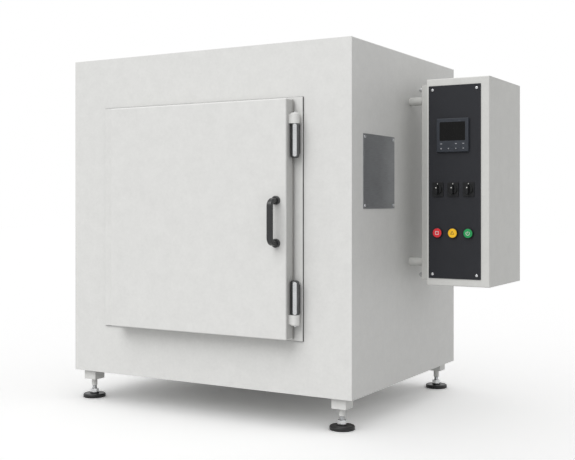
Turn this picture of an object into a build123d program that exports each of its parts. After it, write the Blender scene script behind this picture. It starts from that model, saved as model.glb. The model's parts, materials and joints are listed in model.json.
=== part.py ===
from build123d import *
import os
from math import cos, radians, sin

os.makedirs("parts", exist_ok=True)

# All sizes are in millimetres. While modelling, X runs right from the middle of the body,
# Y runs back from the body's front face and Z runs up from the floor.

# Body
body_width = 1005.0
body_depth = 783.0
body_height = 1000.0
sheet = 2.0
body_bend = 3.5
return_depth = 18.0
panel_edge = 0.9
base_flange = 25.0
support_width = 60.0
support_foot = 18.0
support_setback = 140.0
support_inset = 20.0

# Door, chamber and the raised plate round the door
door_width = 631.0
door_end_margin = 162.5
door_shift = 9.0
door_drop = 3.0
door_front_reach = 53.0
door_sheet = 1.5
door_edge_radius = 3.5
door_corner_radius = 2.5
lip_depth = 6.0
lip_stand = 1.0
plug_side_gap = 10.0
plug_reach = 20.0
plug_corner = 12.0
plug_edge = 3.0
insulation_slack = 0.5
plate_side_extra = 91.0
plate_end_extra = 13.0
plate_shift = -19.0
plate_proud = 6.0
plate_sheet = 1.5
plate_radius = 1.2
seal_height = 5.7
seal_width = 12.0
seal_setback = 13.0
seal_squeeze = 0.3
seal_round = 3.6
chamber_side_margin = 35.5
chamber_end_margin = 37.5
chamber_depth = 560.0
chamber_corner = 8.0
liner_sheet = 1.5
liner_flange = 22.0
jacket_thickness = 80.0

# Hinges and catches
hinge_radius = 12.5
hinge_setback = 25.0
hinge_side_gap = 0.5
hinge_end_margin = 54.5
knuckle_radius = 13.0
knuckle_height = 30.0
knuckle_edge = 4.0
knuckle_tail = 15.0
barrel_length = 96.0
hinge_web = 13.0
hinge_web_gap = 2.0
hinge_end_round = 6.9
pin_radius = 5.0
pin_nub = 3.0
pin_chamfer = 1.2
pin_end_gap = 2.0
running_clearance = 0.05
part_gap = 0.4
magnet_width = 10.0
magnet_height = 56.0
magnet_thickness = 4.5
strike_thickness = 1.2
catch_end_margin = 137.5
catch_edge = 8.0
catch_corner = 2.0

# Pull handle
handle_spacing = 120.0
handle_reach = 42.0
handle_inset = 31.0
handle_drop = 7.0
grip_width = 17.0
grip_depth = 13.0
grip_corner = 4.0
grip_bend = 17.0
handle_foot_radius = 12.5
handle_foot_height = 9.0
bolt_radius = 3.0
bolt_head_radius = 5.5
bolt_head_flats = 9.4
bolt_head_height = 4.0
bolt_bite = 14.0
bolt_end_gap = 1.0
foot_rim_edge = 2.5

# Levelling feet
foot_height = 90.0
foot_inset_x = 49.0
foot_inset_y = 38.0
block_size = 46.0
block_height = 30.0
block_corner = 2.0
stem_end_gap = 4.0
sleeve_radius = 9.0
sleeve_height = 22.0
stem_radius = 8.0
stem_chamfer = 1.2
stem_start = 6.0
stem_end = 80.0
nut_flats = 24.0
nut_height = 13.0
pad_radius = 36.0
pad_height = 12.0
pad_collar_radius = 14.0
pad_collar_height = 2.5
pad_edge = 4.0
pad_chamfer = 1.0

# Inside the chamber
plenum_depth = 70.0
baffle_sheet = 1.5
baffle_side_gap = 22.0
intake_radius = 92.0
intake_core = 40.0
intake_slots = 18
intake_slot_width = 9.0
outlet_slots = 6
outlet_slot_length = 58.0
outlet_slot_width = 14.0
spigot_intake_radius = 32.0
rack_front = 42.0
rack_back_gap = 40.0
rack_strip = 22.0
rack_sheet = 1.5
rack_floor_gap = 2.0
rack_rise = 60.0
runner_height = 14.0
runner_reach = 15.0
runner_levels = 4
runner_first = 95.0
runner_top_room = 130.0
shelf_levels = (1, 3)
shelf_rod = 4.0
shelf_cross_rod = 3.6
shelf_wire = 2.0
shelf_wire_rise = 1.2
shelf_wires = 11
shelf_front = 50.0
shelf_back_gap = 52.0
shelf_side_gap = 4.0
shelf_rest = 0.2

# Air circulation, heat and exhaust
impeller_radius = 104.0
impeller_eye = 56.0
impeller_depth = 42.0
impeller_sheet = 1.5
impeller_blades = 20
blade_root_gap = 3.0
blade_tip_gap = 1.0
blade_lean = 26.0
blade_bow = 9.0
impeller_wall_gap = 14.0
hub_radius = 16.0
hub_length = 30.0
shaft_radius = 6.0
shaft_bite = 24.0
shaft_chamfer = 0.8
shaft_end_gap = 4.0
shaft_hole_radius = 9.0
heater_radius = 4.0
heater_gap = 36.0
heater_pitch = 50.0
heater_end_margin = 110.0
heater_bend = 22.0
heater_tail = 22.0
hole_clearance = 0.35
probe_radius = 3.0
probe_tip_round = 2.4
probe_margin = 130.0
probe_drop = 62.0
probe_length = 90.0
probe_nut_flats = 14.0
probe_nut_height = 8.0
spigot_radius = 40.0
spigot_wall = 1.5
spigot_reach = 100.0
spigot_margin = 80.0
spigot_drop = 62.0
spigot_flange_radius = 56.0
spigot_flange = 2.0
spigot_bead = 1.5
bead_gap = 2.0
damper_setback = 22.0
damper_gap = 2.0
damper_sheet = 1.5
spindle_radius = 3.0
damper_knob_radius = 12.0
damper_knob_height = 14.0
damper_knob_gap = 2.0
damper_knob_edge = 2.0
damper_grooves = 6
damper_groove_radius = 4.0
spindle_end = 3.0

# Fan motor and its cover
motor_radius = 52.0
motor_length = 92.0
motor_fins = 16
motor_fin_height = 7.0
motor_fin_width = 3.0
motor_edge = 6.0
motor_fin_margin_back = 12.0
motor_fin_margin_front = 6.0
motor_flange = 136.0
motor_flange_thickness = 6.0
motor_post_length = 16.0
motor_post_radius = 6.0
motor_post_inset = 14.0
motor_flange_corner = 10.0
cover_size = 232.0
cover_depth = 134.0
cover_sheet = 1.5
cover_flange = 16.0
cover_corner = 6.0
cover_edge = 3.6
cover_flange_corner = 4.0
cover_slots = 7
cover_slot_length = 150.0
cover_slot_width = 7.0

# Rear panel
rear_slots = 6
rear_slot_length = 90.0
rear_slot_width = 7.0
rear_slot_pitch = 16.0
rear_slot_across = 300.0
rear_slot_rise = 70.0
screw_radius = 3.6
screw_height = 1.8
screw_edge = 10.0
screw_round = 1.1
rear_screw_inset = 40.0

# Side cover plate
side_plate_width = 211.0
side_plate_height = 212.0
side_plate_front = 70.5
side_plate_drop = 262.0
side_plate_sheet = 1.5
side_plate_screw_inset = 9.0
side_plate_corner = 1.5

# Control box and its carrier
tube_reach = 47.0
tube_radius = 13.0
tube_wall = 2.0
tube_set_back = 406.0
tube_low_margin = 61.0
tube_high_margin = 51.0
rail_size = 50.0
rail_wall = 2.0
rail_corner = 3.0
rail_low_margin = 10.0
rail_high_margin = 5.0
rail_bolt_inset = 12.0
rail_bolt_radius = 4.0
rail_bolt_flats = 13.0
rail_bolt_head = 6.0
rail_bolt_end = 8.0
box_width = 191.0
box_depth = 293.0
box_height = 606.0
box_drop = 94.0
box_setback = 300.0
box_sheet = 1.5
box_corner = 2.5
box_back_fold = 14.0
box_opening_corner = 4.0
panel_side_margin = 32.0
panel_end_margin = 42.0
panel_left = 7.0
panel_drop = 20.5
panel_thickness = 2.0
panel_rest = 8.0
panel_screw_inset = 12.0
panel_corner = 1.5
column_shift = -3.5
column_pitch = 47.0

# Temperature controller
controller_size = 98.0
controller_proud = 8.0
controller_body = 91.0
controller_depth = 70.0
controller_drop = 146.0
controller_edge = 2.0
screen_corner = 1.0
screen_width = 78.0
screen_height = 54.5
screen_lift = 11.0
screen_recess = 1.4
screen_thickness = 0.9
key_width = 13.0
key_height = 6.0
key_pitch = 22.5
key_drop = 39.0
key_proud = 0.7
key_corner = 1.2
key_edge = 0.4
keypad_drop = 32.0
keypad_height = 25.0
keypad_recess = 0.8

# Rotary switches
switch_drop = 304.0
switch_plate_width = 34.0
switch_plate_height = 42.0
switch_plate_thickness = 3.0
switch_plate_corner = 2.0
switch_plate_edge = 0.8
switch_body = 32.0
switch_body_depth = 48.0
switch_body_corner = 3.0
switch_shaft_radius = 4.0
switch_shaft_bite = 20.0
switch_shaft_end_gap = 2.0
knob_base_radius = 13.0
knob_base_height = 4.0
knob_base_edge = 1.2
knob_gap = 0.3
knob_wing_width = 9.0
knob_wing_length = 29.0
knob_wing_height = 9.0
knob_wing_taper = 2.0

# Push buttons
button_drop = 431.0
button_ring_radius = 14.9
button_ring_height = 6.0
button_ring_edge = 0.9
button_cap_radius = 13.3
button_cap_gap = 0.3
button_cap_height = 3.5
button_cap_edge = 1.2
button_floor = 1.5
button_travel = 3.0
button_sleeve_radius = 11.0
button_sleeve_wall = 1.3
button_sleeve_length = 14.0
button_stem_length = 10.0
contact_width = 28.0
contact_height = 40.0
contact_rear_height = 28.0
contact_depth = 36.0
contact_step = 20.0
contact_corner = 1.5

# Inside the control box
gear_plate_inset = 16.0
gear_plate_low_room = 104.0
gear_plate_sheet = 1.5
gear_plate_corner = 3.0
gear_post_length = 18.0
gear_post_radius = 4.0
gear_post_inset = 14.0
din_rail_height = 35.0
din_rail_depth = 7.5
din_rail_sheet = 1.0
din_rail_lip = 5.0
din_rail_margin = 6.0
upper_rail_drop = 158.0
lower_rail_rise = 254.0
upper_modules = (45.0, 18.0, 18.0, 36.0)
lower_modules = (45.0, 45.0, 22.0)
module_depth = 62.0
module_base_depth = 42.0
module_height = 82.0
module_nose_height = 44.0
module_gap = 0.5
gland_radius = 12.0
gland_bore = 6.5
gland_reach = 24.0
gland_nut_flats = 26.0
gland_nut_height = 6.0
gland_inner_nut_height = 5.0
gland_thread_radius = 9.5
gland_thread_end = 8.0
gland_edge = 4.0
gland_rise = 56.0

# Places that follow from the sizes above
floor_gap = foot_height
body_left = -body_width / 2
body_right = body_width / 2
door_x = door_shift
door_z = floor_gap + body_height / 2 - door_drop
door_right = door_x + door_width / 2
door_left = door_x - door_width / 2
door_height = body_height - 2 * door_end_margin
chamber_width = door_width - 2 * chamber_side_margin
chamber_height = door_height - 2 * chamber_end_margin
plate_width = door_width + plate_side_extra
plate_height = door_height + plate_end_extra
plate_front = -plate_proud
door_back = plate_front - seal_height - seal_squeeze
door_front = -door_front_reach
hinge_x = door_right + hinge_side_gap + hinge_radius
hinge_y = -hinge_setback
hinge_spread = door_height / 2 - hinge_end_margin
catch_spread = door_height / 2 - catch_end_margin
chamber_front = sheet
chamber_back = chamber_front + chamber_depth
chamber_floor = door_z - chamber_height / 2
chamber_roof = door_z + chamber_height / 2
jacket_front = chamber_front + liner_sheet
jacket_back = chamber_back + liner_sheet + jacket_thickness
jacket_width = chamber_width + 2 * (liner_sheet + jacket_thickness)
jacket_height = chamber_height + 2 * (liner_sheet + jacket_thickness)
baffle_front = chamber_back - plenum_depth
rack_back = baffle_front - rack_back_gap
shelf_back = baffle_front - shelf_back_gap
runner_pitch = (chamber_height - runner_first - runner_top_room) / (runner_levels - 1)
impeller_back = chamber_back - impeller_wall_gap
impeller_front = impeller_back - impeller_depth
spigot_x = door_left + chamber_side_margin + spigot_margin
spigot_z = chamber_roof - spigot_drop
spigot_end = body_depth + spigot_reach
damper_y = body_depth + damper_setback
probe_x = door_right - chamber_side_margin - probe_margin
probe_z = chamber_roof - probe_drop
heater_near = impeller_radius + heater_gap
heater_length = chamber_height - 2 * heater_end_margin
heater_low = door_z - heater_length / 2
motor_front = body_depth + motor_post_length
motor_back = motor_front + motor_flange_thickness + motor_length
cover_back = body_depth + cover_depth
side_plate_y = side_plate_front + side_plate_width / 2
side_plate_z = floor_gap + body_height - side_plate_drop - side_plate_height / 2
rail_left = body_right + tube_reach
rail_right = rail_left + rail_size
box_left = rail_right
box_right = box_left + box_width
box_high = floor_gap + body_height - box_drop
box_low = box_high - box_height
rail_low = box_low + rail_low_margin
rail_high = box_high - rail_high_margin
tube_levels = (box_low + tube_low_margin, box_high - tube_high_margin)
box_back = box_setback + box_depth
box_x = (box_left + box_right) / 2
box_z = (box_low + box_high) / 2
gland_z = box_low + gland_rise
panel_width = box_width - panel_side_margin
panel_height = box_height - panel_end_margin
panel_x = box_left + panel_left + panel_width / 2
panel_high = box_high - panel_drop
panel_z = panel_high - panel_height / 2
panel_front = box_setback - panel_thickness
column_x = panel_x + column_shift
column_places = [column_x + step * column_pitch for step in (-1, 0, 1)]
controller_z = panel_high - controller_drop
screen_z = controller_z + screen_lift
keypad_z = controller_z - keypad_drop
switch_z = panel_high - switch_drop
button_z = panel_high - button_drop
handle_x = door_right - handle_inset
handle_z = door_z - handle_drop
foot_places = [
    (x, y)
    for x in (body_left + foot_inset_x, body_right - foot_inset_x)
    for y in (foot_inset_y, body_depth - foot_inset_y)
]

# The finished part stands with its origin on the floor under the middle of its overall box.
x_middle = (body_left + box_right) / 2
y_middle = (door_front - handle_reach + max(cover_back, spigot_end)) / 2
to_origin = Location((-x_middle, -y_middle, 0))


def front_plane(x, y, z):
    return Plane(origin=(x, y, z), x_dir=(1, 0, 0), z_dir=(0, -1, 0))


def slab(x, z, width, height, front, back, corner=0.0):
    outline = RectangleRounded(width, height, corner) if corner else Rectangle(width, height)
    return extrude(front_plane(x, back, z) * outline, amount=back - front)


def rod_y(x, z, radius, front, back):
    return extrude(front_plane(x, back, z) * Circle(radius), amount=back - front)


def rod_z(x, y, radius, low, high):
    return extrude(Plane(origin=(x, y, low)) * Circle(radius), amount=high - low)


def rod_x(y, z, radius, left, right):
    start = Plane(origin=(left, y, z), x_dir=(0, 1, 0), z_dir=(1, 0, 0))
    return extrude(start * Circle(radius), amount=right - left)


def block(left, right, front, back, low, high):
    middle = ((left + right) / 2, (front + back) / 2, (low + high) / 2)
    return Pos(*middle) * Box(right - left, back - front, high - low)


def hexagon(flats):
    return RegularPolygon(radius=flats / 2, side_count=6, major_radius=False)


def screw_head(place, radius, height):
    head = extrude(place * Circle(radius), amount=height)
    rim = head.edges().sort_by(lambda edge: -(edge.center() - place.origin).length)[:1]
    return fillet(rim, screw_round)


def save(node, *shapes):
    solids = []
    for shape in shapes:
        solids.extend(shape.solids())
    moved = [to_origin * solid for solid in solids]
    export_step(Compound(children=moved) if len(moved) > 1 else moved[0], f"parts/{node}.step")


# Body


def make_outer_shell():
    front = sheet
    back = body_depth - sheet
    outline = Rectangle(body_width, body_height)
    outline = fillet(outline.vertices().group_by(Axis.Y)[-1], body_bend)
    hollow = Pos(0, -sheet / 2) * Rectangle(body_width - 2 * sheet, body_height - sheet)
    hollow = fillet(hollow.vertices().group_by(Axis.Y)[-1], body_bend - sheet)
    section = outline - hollow
    shell = extrude(front_plane(0, back, floor_gap + body_height / 2) * section, amount=back - front)
    bore = tube_radius - tube_wall
    for z in tube_levels:
        shell -= rod_x(tube_set_back, z, bore, body_right - 2 * sheet, body_right + sheet)
    return shell


def make_front_panel():
    mid_z = floor_gap + body_height / 2
    panel = slab(0, mid_z, body_width, body_height, 0, sheet)
    panel = fillet(panel.edges().group_by(Axis.Y)[0], panel_edge)
    wide = body_width - 2 * sheet
    tall = body_height - 2 * sheet
    fold = slab(0, mid_z, wide, tall, sheet, return_depth, body_bend)
    fold -= slab(0, mid_z, wide - 2 * sheet, tall - 2 * sheet, sheet, return_depth, body_bend - sheet)
    fold -= block(body_left, body_right, sheet, return_depth, floor_gap, floor_gap + 4 * sheet)
    opening = slab(door_x, door_z, chamber_width, chamber_height, 0, sheet, chamber_corner)
    return panel + fold - opening


def make_rear_panel():
    back = body_depth
    panel = slab(0, floor_gap + body_height / 2, body_width, body_height, back - sheet, back)
    panel = fillet(panel.edges().group_by(Axis.Y)[-1], panel_edge)
    panel -= rod_y(spigot_x, spigot_z, spigot_radius + hole_clearance, back - sheet, back)
    panel -= rod_y(door_x, door_z, shaft_hole_radius, back - sheet, back)
    for side in (-1, 1):
        for row in range(rear_slots):
            z = floor_gap + rear_slot_rise + row * rear_slot_pitch
            place = front_plane(side * rear_slot_across, back, z)
            panel -= extrude(place * SlotOverall(rear_slot_length, rear_slot_width), amount=sheet)
    return panel


def make_base_plate():
    left = body_left + sheet
    right = body_right - sheet
    front = sheet
    back = body_depth - sheet
    base = block(left, right, front, back, floor_gap, floor_gap + sheet)
    for edge, inner in ((left, left + sheet), (right - sheet, right)):
        base += block(edge, inner, return_depth + sheet, back, floor_gap + sheet, floor_gap + base_flange)
    return base


def make_chamber_supports():
    low = floor_gap + sheet
    high = door_z - jacket_height / 2
    left = door_x - jacket_width / 2 + support_inset
    tall = high - low
    rails = []
    for y in (jacket_front + support_setback, jacket_back - support_setback):
        outline = Rectangle(support_width, tall)
        outline -= Pos(0, -sheet) * Rectangle(support_width - 2 * sheet, tall)
        for side in (-1, 1):
            place = Pos(side * (support_width / 2 + support_foot / 2 - sheet), (sheet - tall) / 2)
            outline += place * Rectangle(support_foot, sheet)
        start = Plane(origin=(left, y, (low + high) / 2), x_dir=(0, 1, 0), z_dir=(1, 0, 0))
        rails.append(extrude(start * outline, amount=jacket_width - 2 * support_inset))
    return rails


# Chamber


def heater_places():
    places = []
    for side in (-1, 1):
        near = door_x + side * heater_near
        far = door_x + side * (heater_near + heater_pitch)
        places.append((near, far))
    return places


def make_chamber_liner():
    outer_width = chamber_width + 2 * liner_sheet
    outer_height = chamber_height + 2 * liner_sheet
    outer_corner = chamber_corner + liner_sheet
    front = chamber_front
    back = chamber_back + liner_sheet
    liner = slab(door_x, door_z, outer_width, outer_height, front, back, outer_corner)
    flange_width = outer_width + 2 * liner_flange
    flange_height = outer_height + 2 * liner_flange
    liner += slab(door_x, door_z, flange_width, flange_height, front, front + liner_sheet)
    liner -= slab(door_x, door_z, chamber_width, chamber_height, front, chamber_back, chamber_corner)
    return liner - rear_wall_holes(chamber_back, back, 0.0)


def rear_wall_holes(front, back, extra):
    holes = rod_y(door_x, door_z, shaft_hole_radius + extra, front, back)
    holes += rod_y(probe_x, probe_z, probe_radius + hole_clearance + extra, front, back)
    holes += rod_y(spigot_x, spigot_z, spigot_radius + hole_clearance, front, back)
    for pair in heater_places():
        for x in pair:
            holes += rod_y(x, heater_low, heater_radius + hole_clearance + extra, front, back)
    return holes


def make_insulation_jacket():
    jacket = slab(door_x, door_z, jacket_width, jacket_height, jacket_front, jacket_back)
    wide = chamber_width + 2 * liner_sheet
    tall = chamber_height + 2 * liner_sheet
    liner_back = chamber_back + liner_sheet
    jacket -= slab(door_x, door_z, wide, tall, jacket_front, liner_back, chamber_corner)
    return jacket - rear_wall_holes(liner_back, jacket_back, insulation_slack)


def make_air_baffle():
    half = chamber_width / 2 - baffle_side_gap
    low = chamber_floor + chamber_corner
    high = chamber_roof - chamber_corner
    middle = (baffle_front + chamber_back) / 2
    section = Rectangle(2 * half, chamber_back - baffle_front)
    section -= Pos(0, baffle_sheet) * Rectangle(2 * (half - baffle_sheet), chamber_back - baffle_front)
    baffle = extrude(Plane(origin=(door_x, middle, low)) * section, amount=high - low)
    slot_length = intake_radius - intake_core
    slot_middle = (intake_radius + intake_core) / 2
    face = front_plane(door_x, baffle_front + baffle_sheet, door_z)
    slot = SlotOverall(slot_length, intake_slot_width)
    slots = Sketch() + [place * slot for place in PolarLocations(slot_middle, intake_slots)]
    baffle -= extrude(face * slots, amount=baffle_sheet)
    pitch = (high - low) / outlet_slots
    outlet = SlotOverall(outlet_slot_length, outlet_slot_width)
    for row in range(outlet_slots):
        z = low + (row + 0.5) * pitch
        place = Plane(origin=(door_x - half, middle, z), x_dir=(0, 0, 1), z_dir=(1, 0, 0))
        baffle -= extrude(place * outlet, amount=2 * half)
    back = baffle_front + baffle_sheet
    baffle -= rod_y(probe_x, probe_z, probe_radius + hole_clearance, baffle_front, back)
    return baffle - rod_y(spigot_x, spigot_z, spigot_intake_radius, baffle_front, back)


def make_shelf_racks():
    racks = []
    for side in (-1, 1):
        wall = door_x + side * chamber_width / 2
        inner = wall - side * rack_sheet
        tip = wall - side * runner_reach
        low = chamber_floor + chamber_corner + rack_floor_gap
        high = chamber_floor + runner_first + (runner_levels - 1) * runner_pitch + rack_rise
        pieces = []
        for y in (rack_front + rack_strip, rack_back - rack_strip):
            front = y - rack_strip / 2
            pieces.append(block(min(wall, inner), max(wall, inner), front, front + rack_strip, low, high))
        for level in range(runner_levels):
            z = chamber_floor + runner_first + level * runner_pitch
            for reach, depth in ((inner, runner_height), (tip, rack_sheet)):
                near = min(wall, reach)
                far = max(wall, reach)
                pieces.append(block(near, far, rack_front, rack_back, z - depth, z))
        racks.append(pieces[0].fuse(*pieces[1:]))
    return racks


def make_wire_shelf(level):
    z = chamber_floor + runner_first + level * runner_pitch + shelf_rod + shelf_rest
    half = chamber_width / 2 - shelf_side_gap - shelf_rod
    left = door_x - half
    right = door_x + half
    shelf = rod_y(left, z, shelf_rod, shelf_front - shelf_rod, shelf_back + shelf_rod)
    shelf += rod_y(right, z, shelf_rod, shelf_front - shelf_rod, shelf_back + shelf_rod)
    front = shelf_front + shelf_rod
    back = shelf_back - shelf_rod
    for y in (front, back):
        shelf += rod_x(y, z, shelf_cross_rod, left, right)
    pitch = (right - left) / (shelf_wires + 1)
    for wire in range(shelf_wires):
        x = left + (wire + 1) * pitch
        shelf += rod_y(x, z + shelf_wire_rise, shelf_wire, front, back)
    return shelf


def make_heaters():
    heaters = []
    tail = chamber_back + liner_sheet + heater_tail
    middle = (impeller_front + impeller_back) / 2
    for near, far in heater_places():
        path = FilletPolyline(
            (near, tail, heater_low),
            (near, middle, heater_low),
            (near, middle, heater_low + heater_length),
            (far, middle, heater_low + heater_length),
            (far, middle, heater_low),
            (far, tail, heater_low),
            radius=heater_bend,
        )
        start = Plane(origin=path @ 0, z_dir=path % 0)
        heaters.append(sweep(start * Circle(heater_radius), path=path))
    return heaters


def make_temperature_probe():
    tip = baffle_front - probe_length
    probe = rod_y(probe_x, probe_z, probe_radius, tip, jacket_back)
    tip_edges = probe.edges().filter_by(GeomType.CIRCLE).group_by(Axis.Y)[0]
    probe = fillet(tip_edges, probe_tip_round)
    nut_plane = front_plane(probe_x, chamber_back, probe_z)
    return probe + extrude(nut_plane * hexagon(probe_nut_flats), amount=probe_nut_height)


# Fan, motor and exhaust


def blade_outline():
    inner = impeller_eye + blade_root_gap
    outer = impeller_radius - blade_tip_gap
    mean = (inner + outer) / 2

    def edge_points(way):
        half = way * impeller_sheet / 2
        points = []
        for radius, turn in ((inner, 0.0), (mean, radians(blade_bow)), (outer, radians(blade_lean))):
            angle = turn + half / radius
            points.append((radius * cos(angle), radius * sin(angle)))
        return points

    leading = edge_points(1)
    trailing = edge_points(-1)
    return make_face(
        [
            ThreePointArc(*leading),
            Line(leading[2], trailing[2]),
            ThreePointArc(*reversed(trailing)),
            Line(trailing[0], leading[0]),
        ]
    )


def make_impeller():
    axis_plane = front_plane(door_x, impeller_back, door_z)
    wheel = extrude(axis_plane * Circle(impeller_radius), amount=impeller_sheet)
    rim = Circle(impeller_radius) - Circle(impeller_eye)
    rim_plane = front_plane(door_x, impeller_front + impeller_sheet, door_z)
    wheel += extrude(rim_plane * rim, amount=impeller_sheet)
    wheel += extrude(axis_plane * Circle(hub_radius), amount=hub_length)
    outline = blade_outline()
    blade_depth = impeller_depth - impeller_sheet
    for turn in range(impeller_blades):
        blade = Rot(0, 0, turn * 360 / impeller_blades) * outline
        wheel += extrude(axis_plane * blade, amount=blade_depth)
    return wheel - rod_y(door_x, door_z, shaft_radius, impeller_back - hub_length, impeller_back)


def make_fan_shaft():
    end = motor_front + motor_flange_thickness + shaft_bite
    shaft = rod_y(door_x, door_z, shaft_radius, impeller_back - hub_length, end)
    return chamfer(shaft.edges().filter_by(GeomType.CIRCLE), shaft_chamfer)


def make_fan_motor():
    front = motor_front + motor_flange_thickness
    body = rod_y(door_x, door_z, motor_radius, front, motor_back)
    body = fillet(body.edges().filter_by(GeomType.CIRCLE).group_by(Axis.Y)[-1], motor_edge)
    fin_back = motor_back - motor_fin_margin_back
    fin_length = fin_back - front - motor_fin_margin_front
    fin_plane = front_plane(door_x, fin_back, door_z)
    fin_reach = motor_radius + motor_fin_height
    for turn in range(motor_fins):
        place = Rot(0, 0, turn * 360 / motor_fins) * Pos(fin_reach / 2, 0)
        body += extrude(fin_plane * (place * Rectangle(fin_reach, motor_fin_width)), amount=fin_length)
    bore = shaft_radius + running_clearance
    return body - rod_y(door_x, door_z, bore, front, front + shaft_bite + shaft_end_gap)


def make_motor_mount():
    front = motor_front
    back = motor_front + motor_flange_thickness
    mount = slab(door_x, door_z, motor_flange, motor_flange, front, back, motor_flange_corner)
    reach = motor_flange / 2 - motor_post_inset
    for side in (-1, 1):
        for rise in (-1, 1):
            x = door_x + side * reach
            z = door_z + rise * reach
            mount += rod_y(x, z, motor_post_radius, body_depth, front)
    return mount - rod_y(door_x, door_z, shaft_hole_radius, front, back)


def make_motor_cover():
    front = body_depth
    cover = slab(door_x, door_z, cover_size, cover_size, front, cover_back, cover_corner)
    cover = fillet(cover.edges().group_by(Axis.Y)[-1], cover_edge)
    wide = cover_size + 2 * cover_flange
    cover += slab(door_x, door_z, wide, wide, front, front + cover_sheet, cover_flange_corner)
    hollow = cover_size - 2 * cover_sheet
    inner_back = cover_back - cover_sheet
    cover -= slab(door_x, door_z, hollow, hollow, front, inner_back, cover_corner - cover_sheet)
    pitch = cover_size / (cover_slots + 2)
    for row in range(cover_slots):
        z = door_z + (row - (cover_slots - 1) / 2) * pitch
        slot = SlotOverall(cover_slot_length, cover_slot_width)
        cover -= extrude(front_plane(door_x, cover_back, z) * slot, amount=cover_sheet)
    return cover


def make_exhaust_spigot():
    front = chamber_back
    pipe = rod_y(spigot_x, spigot_z, spigot_radius, front, spigot_end)
    pipe += rod_y(spigot_x, spigot_z, spigot_flange_radius, body_depth, body_depth + spigot_flange)
    bead_front = damper_y + damper_knob_radius + bead_gap
    bead_back = bead_front + 2 * spigot_bead
    pipe += rod_y(spigot_x, spigot_z, spigot_radius + spigot_bead, bead_front, bead_back)
    pipe -= rod_y(spigot_x, spigot_z, spigot_radius - spigot_wall, front, spigot_end)
    hole = spindle_radius + running_clearance
    return pipe - rod_z(spigot_x, damper_y, hole, spigot_z - spigot_radius, spigot_z + spigot_radius)


def make_damper_flap():
    reach = spigot_radius - spigot_wall - damper_gap
    flap = rod_y(spigot_x, spigot_z, reach, damper_y - damper_sheet / 2, damper_y + damper_sheet / 2)
    low = spigot_z - spigot_radius - spindle_end
    high = spigot_z + spigot_radius + damper_knob_gap + damper_knob_height - spindle_end
    return flap + rod_z(spigot_x, damper_y, spindle_radius, low, high)


def make_damper_knob():
    low = spigot_z + spigot_radius + damper_knob_gap
    base = Plane(origin=(spigot_x, damper_y, low))
    knob = extrude(base * Circle(damper_knob_radius), amount=damper_knob_height)
    knob = fillet(knob.edges().filter_by(GeomType.CIRCLE).group_by(Axis.Z)[-1], damper_knob_edge)
    groove_places = PolarLocations(damper_knob_radius + damper_groove_radius / 2, damper_grooves)
    grooves = Sketch() + [place * Circle(damper_groove_radius) for place in groove_places]
    knob -= extrude(base * grooves, amount=damper_knob_height)
    return knob - rod_z(spigot_x, damper_y, spindle_radius, low, low + damper_knob_height - spindle_end)


# Raised plate, hinges and catches on the frame


def make_door_frame_plate():
    x = door_x + plate_shift
    tray = slab(x, door_z, plate_width, plate_height, plate_front, 0)
    tray = fillet(tray.edges().group_by(Axis.Y)[0], plate_radius)
    wide = plate_width - 2 * plate_sheet
    tall = plate_height - 2 * plate_sheet
    hollow = slab(x, door_z, wide, tall, plate_front + plate_sheet, 0)
    collar_width = chamber_width + 2 * plate_sheet
    collar_height = chamber_height + 2 * plate_sheet
    collar_corner = chamber_corner + plate_sheet
    hollow -= slab(door_x, door_z, collar_width, collar_height, plate_front, 0, collar_corner)
    opening = slab(door_x, door_z, chamber_width, chamber_height, plate_front, 0, chamber_corner)
    return tray - hollow - opening


def hinge_levels():
    return ((door_z + hinge_spread, 1), (door_z - hinge_spread, -1))


def make_hinge_barrel(level, way):
    near = level - way * (knuckle_height / 2 + part_gap)
    far = near - way * barrel_length
    low = min(near, far)
    high = max(near, far)
    barrel = rod_z(hinge_x, hinge_y, hinge_radius, low, high)
    far_edges = barrel.edges().filter_by(GeomType.CIRCLE).sort_by(Axis.Z)
    end_edge = far_edges[0] if way > 0 else far_edges[-1]
    barrel = fillet(end_edge, hinge_end_round)
    web_low = low + hinge_radius if way > 0 else low + hinge_web_gap
    web_high = high - hinge_web_gap if way > 0 else high - hinge_radius
    web_left = hinge_x - hinge_web / 2
    web_front = hinge_y + pin_radius
    barrel += block(web_left, web_left + hinge_web, web_front, plate_front, web_low, web_high)
    bore_end = far + way * hinge_radius
    bore = pin_radius + running_clearance
    return barrel - rod_z(hinge_x, hinge_y, bore, min(near, bore_end), max(near, bore_end))


def make_hinge_knuckle(level, way):
    low = level - knuckle_height / 2
    high = level + knuckle_height / 2
    knuckle = rod_z(hinge_x, hinge_y, knuckle_radius, low, high)
    outer_edges = knuckle.edges().filter_by(GeomType.CIRCLE).sort_by(Axis.Z)
    outer_edge = outer_edges[-1] if way > 0 else outer_edges[0]
    knuckle = fillet(outer_edge, knuckle_edge)
    tail_low = low if way > 0 else low + knuckle_edge
    tail_high = high - knuckle_edge if way > 0 else high
    tail_front = hinge_y - knuckle_radius
    knuckle += block(door_right, hinge_x, tail_front, tail_front + knuckle_tail, tail_low, tail_high)
    return knuckle - rod_z(hinge_x, hinge_y, pin_radius, low, high)


def make_hinge_pin(level, way):
    outer = level + way * (knuckle_height / 2 + pin_nub)
    bore_end = knuckle_height / 2 + part_gap + barrel_length - hinge_radius
    inner = level - way * (bore_end - pin_end_gap)
    pin = rod_z(hinge_x, hinge_y, pin_radius, min(outer, inner), max(outer, inner))
    return chamfer(pin.edges().filter_by(GeomType.CIRCLE), pin_chamfer)


def catch_places():
    x = door_left + catch_edge
    return [(x, door_z + side * catch_spread) for side in (-1, 1)]


def make_catch_magnets():
    magnets = []
    front = plate_front - magnet_thickness
    for x, z in catch_places():
        magnets.append(slab(x, z, magnet_width, magnet_height, front, plate_front, catch_corner))
    return magnets


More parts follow.
